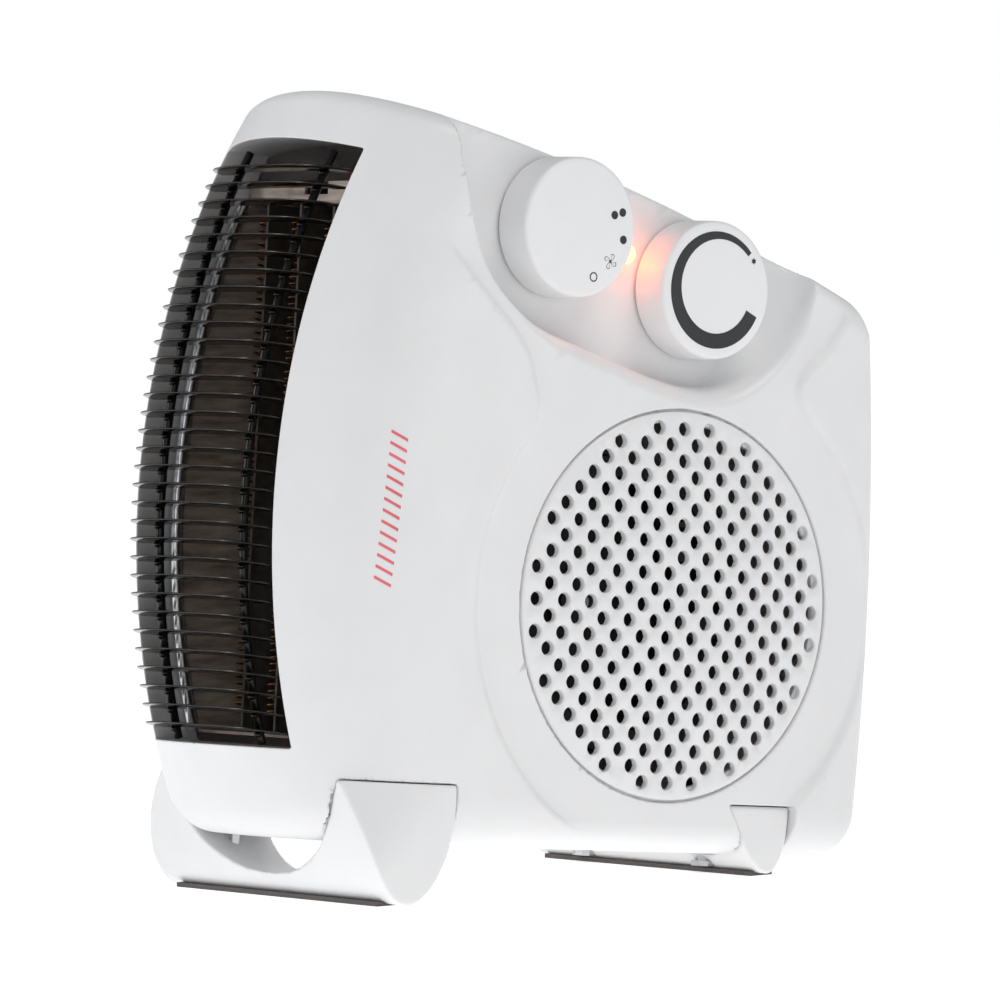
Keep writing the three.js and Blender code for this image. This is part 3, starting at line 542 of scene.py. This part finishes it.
def far_half(x, y, z):
    """The other half, drawn on the near side and mirrored when it is skinned."""
    form = sunk(casing(x, y, z), CIRCLE, x, y, z)
    form = horn_pockets(form, x, y, z)
    form = cut(form, mouth(x, y, z, MOUTH["depth"]), 0.4)
    form = cut(form, round_pocket(x, y, z, (0, 0), DISC["seat"], SUNK_PLANE - 1.9), 0.45)
    for place in SCREWS:
        form = cut(form, round_pocket(x, y, z, place, 4.2, 36.8), 0.6)
    shell = hollowed(form)
    shell = np.maximum(shell, -mouth(x, y, z, MOUTH["depth"] + 12))
    shell = np.maximum(shell, -round_pocket(x, y, z, (0, 0), DISC["radius"] - 3.4, 30))
    gland = np.sqrt((x + GLAND["x"]) ** 2 + (z - GLAND["z"]) ** 2) - 6.4
    return np.maximum(shell, -np.maximum(gland, 60 - y))


SEAM = 0.02                                   # each half stops this far from the middle plane


def build_shells(material):
    edge = float(mouth_edge(FRONT_Z))
    fine_y = [(edge - 12, edge - 1.2, 0.6), (edge - 1.2, edge + 1.6, 0.28)]
    fine_x = [(34.3, 36.3, 0.25), (54, 61, 0.5)]
    axes = (graded(-1.0, 60.5, 1.0, fine_x), graded(edge - 12, 83.0, 1.0, fine_y),
            graded(-79.0, 163.0, 1.0, [(-50.6, -48.2, 0.3), (132.6, 138.2, 0.28)]))

    def follow(z):
        return mouth_edge(z) - edge
    near = skinned("near_casing", near_half, axes, 0.02, from_x=SEAM, follow=follow)
    finished(near, "casing", material, ["near_shell"])
    far = skinned("far_casing", far_half, axes, 0.02, from_x=SEAM, mirror=True, follow=follow)
    finished(far, "casing", material, ["far_shell"])


def build_feet(material):
    for name, foot in FEET.items():
        axes = (graded(-foot["half"] - 2, foot["half"] + 2, 0.8),
                graded(foot["front"][0] - 2, foot["back"][0] + 2, 0.8),
                graded(foot["low"][1] - 2, foot["front"][1] + 2, 0.8))
        piece = skinned(name + "_cradle_foot", foot_solid(name), axes, 0.0)
        finished(piece, "casing", material, [name + "_foot"])


# ---- perforated disc ----------------------------------------------------------------------
def disc_holes():
    """Rows of holes along y; every second row is shifted by half a step."""
    holes = []
    for row in range(-11, 12):
        count = HOLE["rows"][abs(row)]
        holes += [((i - (count - 1) / 2) * HOLE["spacing"], row * HOLE["spacing"] / 2) for i in range(count)]
    return holes


def dome(r):
    curve = (DISC["radius"] ** 2 + DISC["dome"] ** 2) / (2 * DISC["dome"])
    return SUNK_PLANE + np.sqrt(curve ** 2 - r ** 2) - (curve - DISC["dome"])


def build_intake_grille(material):
    """A shallow dome with round holes whose rims are softened, and a rounded outer edge."""
    sides = 24
    holes = disc_holes()
    turns = np.arange(sides) / sides * 2 * math.pi
    ring = np.stack([np.cos(turns), np.sin(turns)], -1)
    radius, soft = HOLE["radius"], 0.35
    outer = DISC["radius"]
    rim_turns = np.arange(180) / 180 * 2 * math.pi
    rim = np.stack([np.cos(rim_turns), np.sin(rim_turns)], -1) * (outer - 0.8)
    points = [Vector(p) for hole in holes for p in np.array(hole) + ring * (radius + soft)]
    edges = [(h * sides + i, h * sides + (i + 1) % sides) for h in range(len(holes)) for i in range(sides)]
    start = len(points)
    points += [Vector(p) for p in rim]
    edges += [(start + i, start + (i + 1) % len(rim)) for i in range(len(rim))]
    flat, _, faces, *_ = delaunay_2d_cdt(points, edges, [], 1, 1e-6)
    flat = np.array([tuple(v) for v in flat])
    centres = np.array(holes)
    middles = flat[np.array(faces)].mean(1)
    nearest = np.min(np.linalg.norm(middles[:, None] - centres[None], axis=2), axis=1)
    sheet = [tuple(f) for f, d in zip(faces, nearest) if d > radius + soft * 0.5]

    def lifted(flat_points, below):
        r = np.linalg.norm(flat_points, axis=1)
        return np.column_stack([dome(r) - below, flat_points])

    all_points = [lifted(flat, 0)]
    all_faces = list(sheet)
    count = len(flat)
    # the rims: from the face round the soft edge, down the wall, to the back face
    levels = [(radius + soft * 0.45, 0.09), (radius + soft * 0.12, soft * 0.5), (radius, soft),
              (radius, DISC["thickness"])]
    for h, hole in enumerate(holes):
        before = [h * sides + i for i in range(sides)]
        for ring_radius, below in levels:
            loop = np.array(hole) + ring * ring_radius
            all_points.append(lifted(loop, below))
            after = list(range(count, count + sides))
            count += sides
            all_faces += [(before[i], before[(i + 1) % sides], after[(i + 1) % sides], after[i])
                          for i in range(sides)]
            before = after
    before = list(range(start, start + len(rim)))
    edge_levels = [(outer - 0.35, 0.1), (outer - 0.08, 0.38), (outer, 0.8), (outer, DISC["thickness"])]
    for ring_radius, below in edge_levels:
        loop = rim / (outer - 0.8) * ring_radius
        all_points.append(lifted(loop, below))
        after = list(range(count, count + len(rim)))
        count += len(rim)
        all_faces += [(before[(i + 1) % len(rim)], before[i], after[i], after[(i + 1) % len(rim)])
                      for i in range(len(rim))]
        before = after
    # the back face has the same triangles, over the walls' last rings
    back_of = {}
    for h in range(len(holes)):
        for i in range(sides):
            back_of[h * sides + i] = len(flat) + h * len(levels) * sides + (len(levels) - 1) * sides + i
    for i in range(len(rim)):
        back_of[start + i] = before[i]
    all_faces += [tuple(back_of[v] for v in reversed(f)) for f in sheet]
    points = to_row(np.vstack(all_points))
    piece = crisp(outward(add_mesh("intake_disc", points, all_faces)), 50)
    finished(piece, "casing", material, ["intake_grille"])


# ---- outlet grille ------------------------------------------------------------------------
FIN = {"count": 32, "bottom": -43.55, "pitch": 5.67, "closing": 0.004,
       "bulge": 11.4, "width": 8.0, "thick": 0.5, "tilt": 0.14}
BAR = {"x": 21.8, "radius": 1.3, "set": 0.7}


def fin_height(i):
    return FIN["bottom"] + i * FIN["pitch"] - i * i * FIN["closing"]


def fin(z):
    """A thin strip bent round the nose with its front edge tipped up."""
    edge = float(mouth_edge(z))
    half = MOUTH["half"] - 0.6
    t, w = FIN["thick"] / 2, FIN["width"]
    section = [(0, 0), (0.06, 0.7 * t), (0.22, t), (w - 0.22, t), (w - 0.06, 0.7 * t),
               (w, 0), (w - 0.06, -0.7 * t), (w - 0.22, -t), (0.22, -t), (0.06, -0.7 * t)]
    points = []
    turns = np.linspace(-0.5, 0.5, 45) * math.pi
    for turn in turns:
        for inset, lift in section:
            reach = (FIN["bulge"] - inset) * abs(math.cos(turn)) ** 0.8
            x = (half - inset) * math.copysign(abs(math.sin(turn)) ** 0.8, turn)
            points.append((x, edge + 1 - reach, z + FIN["tilt"] * (reach - FIN["bulge"]) + lift))
    return points, rings_to_faces(len(turns), len(section))


def grille_bar(x):
    heights = np.linspace(MOUTH["low"] + 0.8, MOUTH["high"] - 0.6, 60)
    path = [(x, float(mouth_edge(z)) - BAR["set"], z) for z in heights]
    return swept(path, round_section(BAR["radius"], 12), np.tile([1.0, 0, 0], (len(path), 1)))


def weld(x, z):
    """The small bead of enamel where a bar is welded to a fin."""
    y = float(mouth_edge(z)) - BAR["set"] - 0.7
    turns = np.arange(8) / 8 * 2 * math.pi
    rings = [[(x + r * math.cos(t), y + r * 0.9 * math.sin(t), z - 0.15 + h) for t in turns]
             for r, h in ((0.5, -0.95), (1.3, -0.55), (1.5, 0), (1.3, 0.55), (0.5, 0.95))]
    return np.array(rings).reshape(-1, 3), rings_to_faces(5, 8)


def build_outlet_grille(material):
    heights = [fin_height(i) for i in range(FIN["count"])]
    parts = [fin(z) for z in heights]
    parts += [grille_bar(-BAR["x"]), grille_bar(BAR["x"])]
    parts += [weld(x, z - 2.0) for z in heights for x in (-BAR["x"], BAR["x"])]
    points, faces = merged(parts)
    piece = outward(add_mesh("finned_guard", to_row(points), faces))
    finished(crisp(piece, 50), "casing", material, ["outlet_grille"])


# ---- knobs and lamp -----------------------------------------------------------------------
def outward(piece, weld_distance=1e-7):
    """Merges points that coincide and turns every face outwards."""
    work = bmesh.new()
    work.from_mesh(piece.data)
    bmesh.ops.remove_doubles(work, verts=work.verts, dist=weld_distance)
    bmesh.ops.recalc_face_normals(work, faces=work.faces)
    work.to_mesh(piece.data)
    work.free()
    return piece


def build_knob(name, node, body, centre, material):
    radius, face, edge = KNOB["radius"], KNOB["face"], KNOB["edge"]
    back = RECESS_FLOOR + KNOB["gap"]
    profile = rounded_profile([
        ((0.01, back + 4), 0), ((6.3, back + 4), 0.3), ((6.3, back + 2), 0.3),
        ((radius - 2.2, back + 2), 0.3),
        ((radius - 2.2, back), 0.5), ((radius, back), 0.5), ((radius - 0.25, face), edge), ((0.01, face), 0)])
    points, faces = turned(profile, *centre, sides=160)
    piece = outward(add_mesh(name, to_row(points), faces))
    finished(crisp(piece, 40), body, material, [node])


PRINT = 0.05                                  # how far a print stands off its surface


def plate(outline, lift=None, hole=None):
    """Points and faces of a thin flat print in the (y, z) plane, with an optional hole of as many points."""
    lift = lift or (lambda y, z: KNOB["face"])
    outline = np.array(outline, float)
    n = len(outline)

    def level(loop, up):
        return [(lift(y, z) + up, y, z) for y, z in loop]
    if hole is None:
        points = level(outline, PRINT) + level(outline, -0.05)
        faces = [tuple(range(n)), tuple(range(n, 2 * n))[::-1]]
        faces += [(i, (i + 1) % n, n + (i + 1) % n, n + i) for i in range(n)]
        return points, faces
    points = level(outline, PRINT) + level(hole, PRINT) + level(hole, -0.05) + level(outline, -0.05)
    faces = []
    for k in range(4):
        a, b = k * n, (k + 1) % 4 * n
        faces += [(a + i, a + (i + 1) % n, b + (i + 1) % n, b + i) for i in range(n)]
    return points, faces


def ring_of(centre, radius, sides=40):
    turns = np.arange(sides) / sides * 2 * math.pi
    return [(centre[0] + radius * math.cos(t), centre[1] + radius * math.sin(t)) for t in turns]


def fan_sign(centre, size, line):
    """Four hooked blades in outline, the usual sign for a fan."""
    parts = []
    blade = np.array(spline([(0.05, 0.02), (0.16, 0.42), (0.06, 0.86), (0.34, 1.0), (0.62, 0.82),
                             (0.56, 0.46), (0.3, 0.16), (0.05, 0.02)], 6)[:-1]) * size
    inner = (blade - blade.mean(0)) * (1 - line / size * 1.9) + blade.mean(0)
    for k in range(4):
        turn = k * math.pi / 2
        spin = np.array([[math.cos(turn), -math.sin(turn)], [math.sin(turn), math.cos(turn)]])
        parts.append(plate(blade @ spin.T + centre, hole=inner @ spin.T + centre))
    parts.append(plate(ring_of(centre, 0.2 * size, 16)))
    return parts


def selector_marks():
    at = np.array(SELECTOR)
    dots = [(16.8, -2.8), (12.9, 4.6), (16.0, 5.6)]
    parts = [plate(ring_of(at + dot, 1.32)) for dot in dots]
    parts.append(plate(ring_of(at + (5.8, -15.0), 1.5), hole=ring_of(at + (5.8, -15.0), 1.12)))
    return parts + fan_sign(at + (12.1, -9.8), 2.35, 0.24)


def thermostat_marks():
    """A scale that widens from cool to warm, and a small star for frost protection."""
    at = np.array(THERMOSTAT)
    outer, inner = [], []
    for degrees in np.linspace(43, 336, 90):
        turn = math.radians(degrees)
        thick = 1.6 + 3.1 * float(smoothstep(degrees, 20, 235))
        outer.append(at + 18.3 * np.array([math.cos(turn), math.sin(turn)]))
        inner.append(at + (18.3 - thick) * np.array([math.cos(turn), math.sin(turn)]))
    count = len(outer)
    band = [tuple(p) for p in outer] + [tuple(p) for p in inner[::-1]]
    points = [(KNOB["face"] + PRINT, *p) for p in band] + [(KNOB["face"] - 0.05, *p) for p in band]
    size = len(band)
    faces = [(i, i + 1, size - 2 - i, size - 1 - i) for i in range(count - 1)]
    faces += [tuple(size + v for v in face[::-1]) for face in faces]
    faces += [(i, (i + 1) % size, size + (i + 1) % size, size + i) for i in range(size)]
    star = []
    centre = at + 17.6 * np.array([math.cos(math.radians(34.5)), math.sin(math.radians(34.5))])
    for k in range(12):
        turn, reach = k * math.pi / 6, 1.1 if k % 2 else 0.62
        star.append(centre + reach * np.array([math.cos(turn), math.sin(turn)]))
    return [(points, faces), plate(star)]


def build_marks(name, body, parts, material):
    points, faces = merged(parts)
    piece = outward(add_mesh(name, to_row(points), faces, flat=True))
    finished(piece, body, material)


def casing_x(y, z):
    """How far out the casing's side stands at a point of its side view."""
    low, high = 0.0, HALF_WIDTH + 1
    for _ in range(30):
        middle = (low + high) / 2
        if casing(np.array([middle]), np.array([y]), np.array([z]))[0] < 0:
            low = middle
        else:
            high = middle
    return low


def build_hazard_mark(material):
    """A column of plain slanting strokes printed up the side."""
    parts = []
    top, bottom = np.array([-110.4, 48.4]), np.array([-113.6, 1.6])
    along = (bottom - top) / np.linalg.norm(bottom - top)
    across = np.array([-along[1], along[0]])
    length = np.linalg.norm(bottom - top)
    strokes = 14
    for k in range(strokes):
        start = top + along * (length - 2.6) * k / (strokes - 1)
        ends = []
        for s in np.linspace(-0.5, 0.5, 7):
            ends.append(start + across * 5.4 * s + along * (2.2 * (s + 0.5)))
        outline = ends + [p + along * 0.95 for p in ends[::-1]]
        parts.append(plate(outline, lift=casing_x))
    points, faces = merged(parts)
    piece = outward(add_mesh("printed_stripes", to_row(points), faces, flat=True))
    finished(piece, "casing", material)


def build_lamp(material):
    r, floor = LAMP["radius"], RECESS_FLOOR
    profile = rounded_profile([((0.01, floor - 16), 0), ((r, floor - 16), 0.2), ((r, floor + 4.2), 1.8),
                               ((0.01, floor + 4.6), 0)], 6)
    points, faces = turned(profile, LAMP["y"], LAMP["z"], 48)
    piece = outward(add_mesh("neon_lens", to_row(points), faces))
    finished(crisp(piece, 40), "casing", material, ["indicator_lamp"])


# ---- duct -------------------------------------------------------------------------------
def build_rolled_edges(material):
    """The duct's upright front edges, rolled into a bright bead behind each jamb."""
    heights = np.linspace(-46.0, 118.0, 60)
    parts = []
    for x in (-33.2, 33.2):
        path = [(x, float(mouth_edge(z)) + 13.2, z) for z in heights]
        parts.append(swept(path, round_section(1.9, 20), np.tile([1.0, 0, 0], (len(path), 1))))
    points, faces = merged(parts)
    finished(crisp(outward(add_mesh("rolled_edges", to_row(points), faces)), 50), "casing", material)


# ---- heating coils ------------------------------------------------------------------------
COIL = {"x": (-25.5, -8.5, 8.5, 25.5), "low": -40.6, "high": 113.0, "y": -103.0, "radius": 3.4,
        "wire": 0.34, "pitch": 2.1}


def helix(x, y, sides=6):
    turns = (COIL["high"] - COIL["low"]) / COIL["pitch"]
    t = np.linspace(0, 1, int(turns * 14))
    angle = t * turns * 2 * math.pi
    path = np.stack([x + COIL["radius"] * 0.62 * np.cos(angle), y + COIL["radius"] * np.sin(angle),
                     COIL["low"] + t * (COIL["high"] - COIL["low"])], -1)
    outwards = np.stack([np.cos(angle), np.sin(angle), 0 * angle], -1)
    return swept(path, round_section(COIL["wire"], sides), outwards)


def build_coils(material):
    for i, x in enumerate(COIL["x"]):
        piece = add_mesh(f"coiled_element_{i + 1}", to_row(helix(x, COIL["y"])[0]), helix(x, COIL["y"])[1])
        finished(outward(piece), "casing", material, [f"heating_coil_{i + 1}"])


# ---- materials ----------------------------------------------------------------------------
def surface(name, colour, roughness, metallic=0.0, vary=0.03, grain=2500.0, bump=0.02, stretch=(1, 1, 1),
            blotch=60.0, subsurface=0.0, specular=0.5, tint=None):
    """A material whose colour drifts softly, whose gloss varies and whose surface has a fine grain."""
    material = bpy.data.materials.new(name)
    material.use_nodes = True
    nodes, links = material.node_tree.nodes, material.node_tree.links
    shader = nodes["Principled BSDF"]
    shader.inputs["Metallic"].default_value = metallic
    shader.inputs["Specular IOR Level"].default_value = specular
    shader.inputs["Subsurface Weight"].default_value = subsurface
    shader.inputs["Subsurface Radius"].default_value = (1.0, 0.75, 0.55)
    shader.inputs["Subsurface Scale"].default_value = 0.002

    place = nodes.new("ShaderNodeTexCoord")
    scale = nodes.new("ShaderNodeMapping")
    scale.inputs["Scale"].default_value = stretch
    links.new(place.outputs["Object"], scale.inputs["Vector"])

    cloud = nodes.new("ShaderNodeTexNoise")
    cloud.inputs["Scale"].default_value = blotch
    cloud.inputs["Detail"].default_value = 4
    links.new(scale.outputs["Vector"], cloud.inputs["Vector"])
    ramp = nodes.new("ShaderNodeValToRGB")
    other = tint or tuple(c * (1 - 2 * vary) for c in colour)
    ramp.color_ramp.elements[0].color = (*other, 1)
    ramp.color_ramp.elements[1].color = (*[min(1.0, c * (1 + vary)) for c in colour], 1)
    ramp.color_ramp.elements[0].position, ramp.color_ramp.elements[1].position = 0.3, 0.7
    links.new(cloud.outputs["Fac"], ramp.inputs["Fac"])
    links.new(ramp.outputs["Color"], shader.inputs["Base Color"])

    fine = nodes.new("ShaderNodeTexNoise")
    fine.inputs["Scale"].default_value = grain
    fine.inputs["Detail"].default_value = 3
    links.new(scale.outputs["Vector"], fine.inputs["Vector"])
    gloss = nodes.new("ShaderNodeMapRange")
    gloss.inputs["To Min"].default_value = max(0.02, roughness - 0.05)
    gloss.inputs["To Max"].default_value = roughness + 0.05
    links.new(cloud.outputs["Fac"], gloss.inputs["Value"])
    links.new(gloss.outputs["Result"], shader.inputs["Roughness"])
    relief = nodes.new("ShaderNodeBump")
    relief.inputs["Strength"].default_value = bump
    relief.inputs["Distance"].default_value = 0.0002
    links.new(fine.outputs["Fac"], relief.inputs["Height"])
    links.new(relief.outputs["Normal"], shader.inputs["Normal"])
    return material


def glowing(name, colour, strength, from_x=None):
    """A surface that shines, where from_x is given only beyond that x in metres."""
    material = surface(name, colour, 0.25, vary=0.05)
    nodes, links = material.node_tree.nodes, material.node_tree.links
    shader = nodes["Principled BSDF"]
    shader.inputs["Emission Color"].default_value = (*colour, 1)
    shader.inputs["Emission Strength"].default_value = strength
    if from_x is not None:
        place, split = nodes.new("ShaderNodeTexCoord"), nodes.new("ShaderNodeSeparateXYZ")
        ramp = nodes.new("ShaderNodeMapRange")
        ramp.inputs["From Min"].default_value, ramp.inputs["From Max"].default_value = from_x, from_x + 0.001
        ramp.inputs["To Max"].default_value = strength
        links.new(place.outputs["Object"], split.inputs["Vector"])
        links.new(split.outputs["X"], ramp.inputs["Value"])
        links.new(ramp.outputs["Result"], shader.inputs["Emission Strength"])
    return material


MATERIAL = {
    "shell": surface("white_casing_plastic", (0.80, 0.80, 0.805), 0.36, vary=0.01, bump=0.05,
                     subsurface=0.08),
    "knob": surface("white_knob_plastic", (0.84, 0.84, 0.845), 0.3, vary=0.008, bump=0.03, subsurface=0.08),
    "enamel": surface("black_stove_enamel", (0.004, 0.0035, 0.003), 0.14, vary=0.2, grain=900, bump=0.05,
                      specular=0.3, tint=(0.008, 0.006, 0.004)),
    "scroll": surface("grey_moulding", (0.30, 0.275, 0.245), 0.5, vary=0.05, bump=0.1),
    "black": surface("black_moulding", (0.02, 0.02, 0.02), 0.42, vary=0.1, bump=0.1),
    "block": surface("white_thermoset", (0.72, 0.71, 0.67), 0.5, vary=0.03, bump=0.12),
    "steel": surface("bright_steel", (0.56, 0.57, 0.58), 0.3, 1.0, vary=0.06, grain=1200, bump=0.05,
                     stretch=(1, 1, 12)),
    # duct: the sheet's brown-grey colour and its darker streaky patches are painted shade, the look of the
    # liner wall seen in shadow
    "duct": surface("duct_sheet_painted_shade", (0.62, 0.53, 0.45), 0.4, 0.25, vary=0.1, grain=700, bump=0.12,
                    stretch=(1, 1, 6), tint=(0.30, 0.24, 0.19)),
    "bead": surface("polished_sheet", (0.66, 0.67, 0.68), 0.16, 1.0, vary=0.05, grain=700, bump=0.03),
    "zinc": surface("zinc_plated_sheet", (0.62, 0.63, 0.64), 0.34, 1.0, vary=0.1, grain=500, bump=0.08),
    "copper": surface("enamelled_copper", (0.62, 0.27, 0.12), 0.36, 1.0, vary=0.08, grain=2500, bump=0.4,
                      stretch=(1, 8, 1)),
    "bronze": surface("sintered_bronze", (0.5, 0.36, 0.18), 0.5, 1.0, vary=0.08, bump=0.3),
    "mica": surface("mica_sheet", (0.055, 0.045, 0.035), 0.35, vary=0.25, grain=400, bump=0.1, blotch=220),
    "nichrome": surface("oxidised_wire", (0.40, 0.21, 0.11), 0.32, 1.0, vary=0.2, grain=1500, bump=0.15,
                        blotch=160, tint=(0.10, 0.06, 0.04)),
    "red_wire": surface("red_silicone", (0.55, 0.02, 0.015), 0.4, vary=0.08, bump=0.1),
    "rubber": surface("dark_rubber", (0.10, 0.09, 0.085), 0.8, vary=0.06, bump=0.4),
    "ink": surface("dark_print", (0.028, 0.028, 0.03), 0.5, vary=0.08, bump=0.05),
    "red_ink": surface("red_print", (0.78, 0.16, 0.19), 0.5, vary=0.06, bump=0.05),
    "lamp": glowing("neon_orange", (1.0, 0.16, 0.045), 14.0, RECESS_FLOOR / 1000),
}

CAD_MATERIAL = {
    "far_vent_grille": "shell", "blower_scroll": "scroll", "fan_impeller": "black", "impeller_plate": "black",
    "selector_shaft": "scroll", "rotary_switch": "black", "thermostat_shaft": "steel", "thermostat": "steel",
    "motor_shaft": "steel", "motor_stator": "steel", "motor_coil": "copper", "motor_bracket_front": "zinc",
    "motor_bracket_rear": "zinc", "bearing_front": "bronze", "bearing_rear": "bronze", "duct_liner": "duct",
    "thermal_cutout": "black", "terminal_block": "block", "power_wire": "red_wire", "cord_gland": "black",
    "front_foot_pad": "rubber", "rear_foot_pad": "rubber",
}


def dress_cad_nodes():
    for name, node in NODES.items():
        key = CAD_MATERIAL.get(name)
        if name.startswith("mica_board"):
            key = "mica"
        if "screw" in name:
            key = "steel"
        if key:
            node.data.materials.clear()
            node.data.materials.append(MATERIAL[key])


# ---- studio -------------------------------------------------------------------------------
def add_light(name, kind, energy, place, size=0.0, colour=(1, 1, 1), height=None):
    data = bpy.data.lights.new(name, kind)
    data.energy, data.color = energy, colour
    if kind == "SUN":
        data.angle = math.radians(size)
    else:
        data.shape, data.size, data.size_y = "RECTANGLE", size, height or size
    light = bpy.data.objects.new(name, data)
    bpy.context.scene.collection.objects.link(light)
    middle = Vector((0, 0, 0.12))
    light.location = Vector(place)
    light.rotation_euler = (middle - Vector(place)).to_track_quat("-Z", "Y").to_euler()


def add_floor():
    rings, sides = (0.4, 1.2, 4, 14, 40), 64
    turns = [k / sides * 2 * math.pi for k in range(sides)]
    points = [(0.0, 0.0, 0.0)] + [(r * math.cos(t), r * math.sin(t), 0.0) for r in rings for t in turns]
    faces = [(0, 1 + k, 1 + (k + 1) % sides) for k in range(sides)]
    for i in range(len(rings) - 1):
        a, b = 1 + i * sides, 1 + (i + 1) * sides
        faces += [(a + k, b + k, b + (k + 1) % sides, a + (k + 1) % sides) for k in range(sides)]
    floor = add_mesh("floor", points, faces)
    pale = surface("pale_floor", (0.93, 0.93, 0.93), 0.7, vary=0.004, blotch=3, bump=0.0)
    shader = pale.node_tree.nodes["Principled BSDF"]
    shader.inputs["Emission Color"].default_value = (1, 1, 1, 1)
    shader.inputs["Emission Strength"].default_value = 0.55
    floor.data.materials.append(pale)


def add_world():
    world = bpy.data.worlds.new("studio")
    world.use_nodes = True
    nodes, links = world.node_tree.nodes, world.node_tree.links
    glow = nodes["Background"]
    seen = nodes.new("ShaderNodeBackground")
    glow.inputs["Color"].default_value, glow.inputs["Strength"].default_value = (0.93, 0.96, 1.0, 1), 0.34
    seen.inputs["Color"].default_value, seen.inputs["Strength"].default_value = (1, 1, 1, 1), 1.0
    path, mix = nodes.new("ShaderNodeLightPath"), nodes.new("ShaderNodeMixShader")
    links.new(path.outputs["Is Camera Ray"], mix.inputs[0])
    links.new(glow.outputs[0], mix.inputs[1])
    links.new(seen.outputs[0], mix.inputs[2])
    links.new(mix.outputs[0], nodes["World Output"].inputs["Surface"])
    bpy.context.scene.world = world


add_world()
add_floor()
add_light("key", "SUN", 1.0, (0.8, 0.3, 1.5), 35, (1.0, 0.985, 0.96))
add_light("front_softbox", "AREA", 5.5, (-1.1, -1.5, 0.9), 0.9, (0.96, 0.98, 1.0), 1.4)
add_light("front_strip", "AREA", 5, (-0.86, -1.58, 0.5), 0.12, (1.0, 1.0, 1.0), 1.1)
add_light("opening_fill", "AREA", 2.0, (1.35, -1.35, 0.35), 0.8, (1.0, 0.985, 0.96), 0.8)
bpy.context.scene.view_settings.view_transform = "Standard"

build_shells(MATERIAL["shell"])
build_feet(MATERIAL["shell"])
build_intake_grille(MATERIAL["shell"])
build_outlet_grille(MATERIAL["enamel"])
build_knob("selector_dial", "selector_knob", "selector", SELECTOR, MATERIAL["knob"])
build_knob("thermostat_dial", "thermostat_knob", "thermostat_dial", THERMOSTAT, MATERIAL["knob"])
build_marks("selector_marks", "selector", selector_marks(), MATERIAL["ink"])
build_marks("thermostat_marks", "thermostat_dial", thermostat_marks(), MATERIAL["ink"])
build_hazard_mark(MATERIAL["red_ink"])
build_lamp(MATERIAL["lamp"])
build_rolled_edges(MATERIAL["bead"])
build_coils(MATERIAL["nichrome"])
dress_cad_nodes()
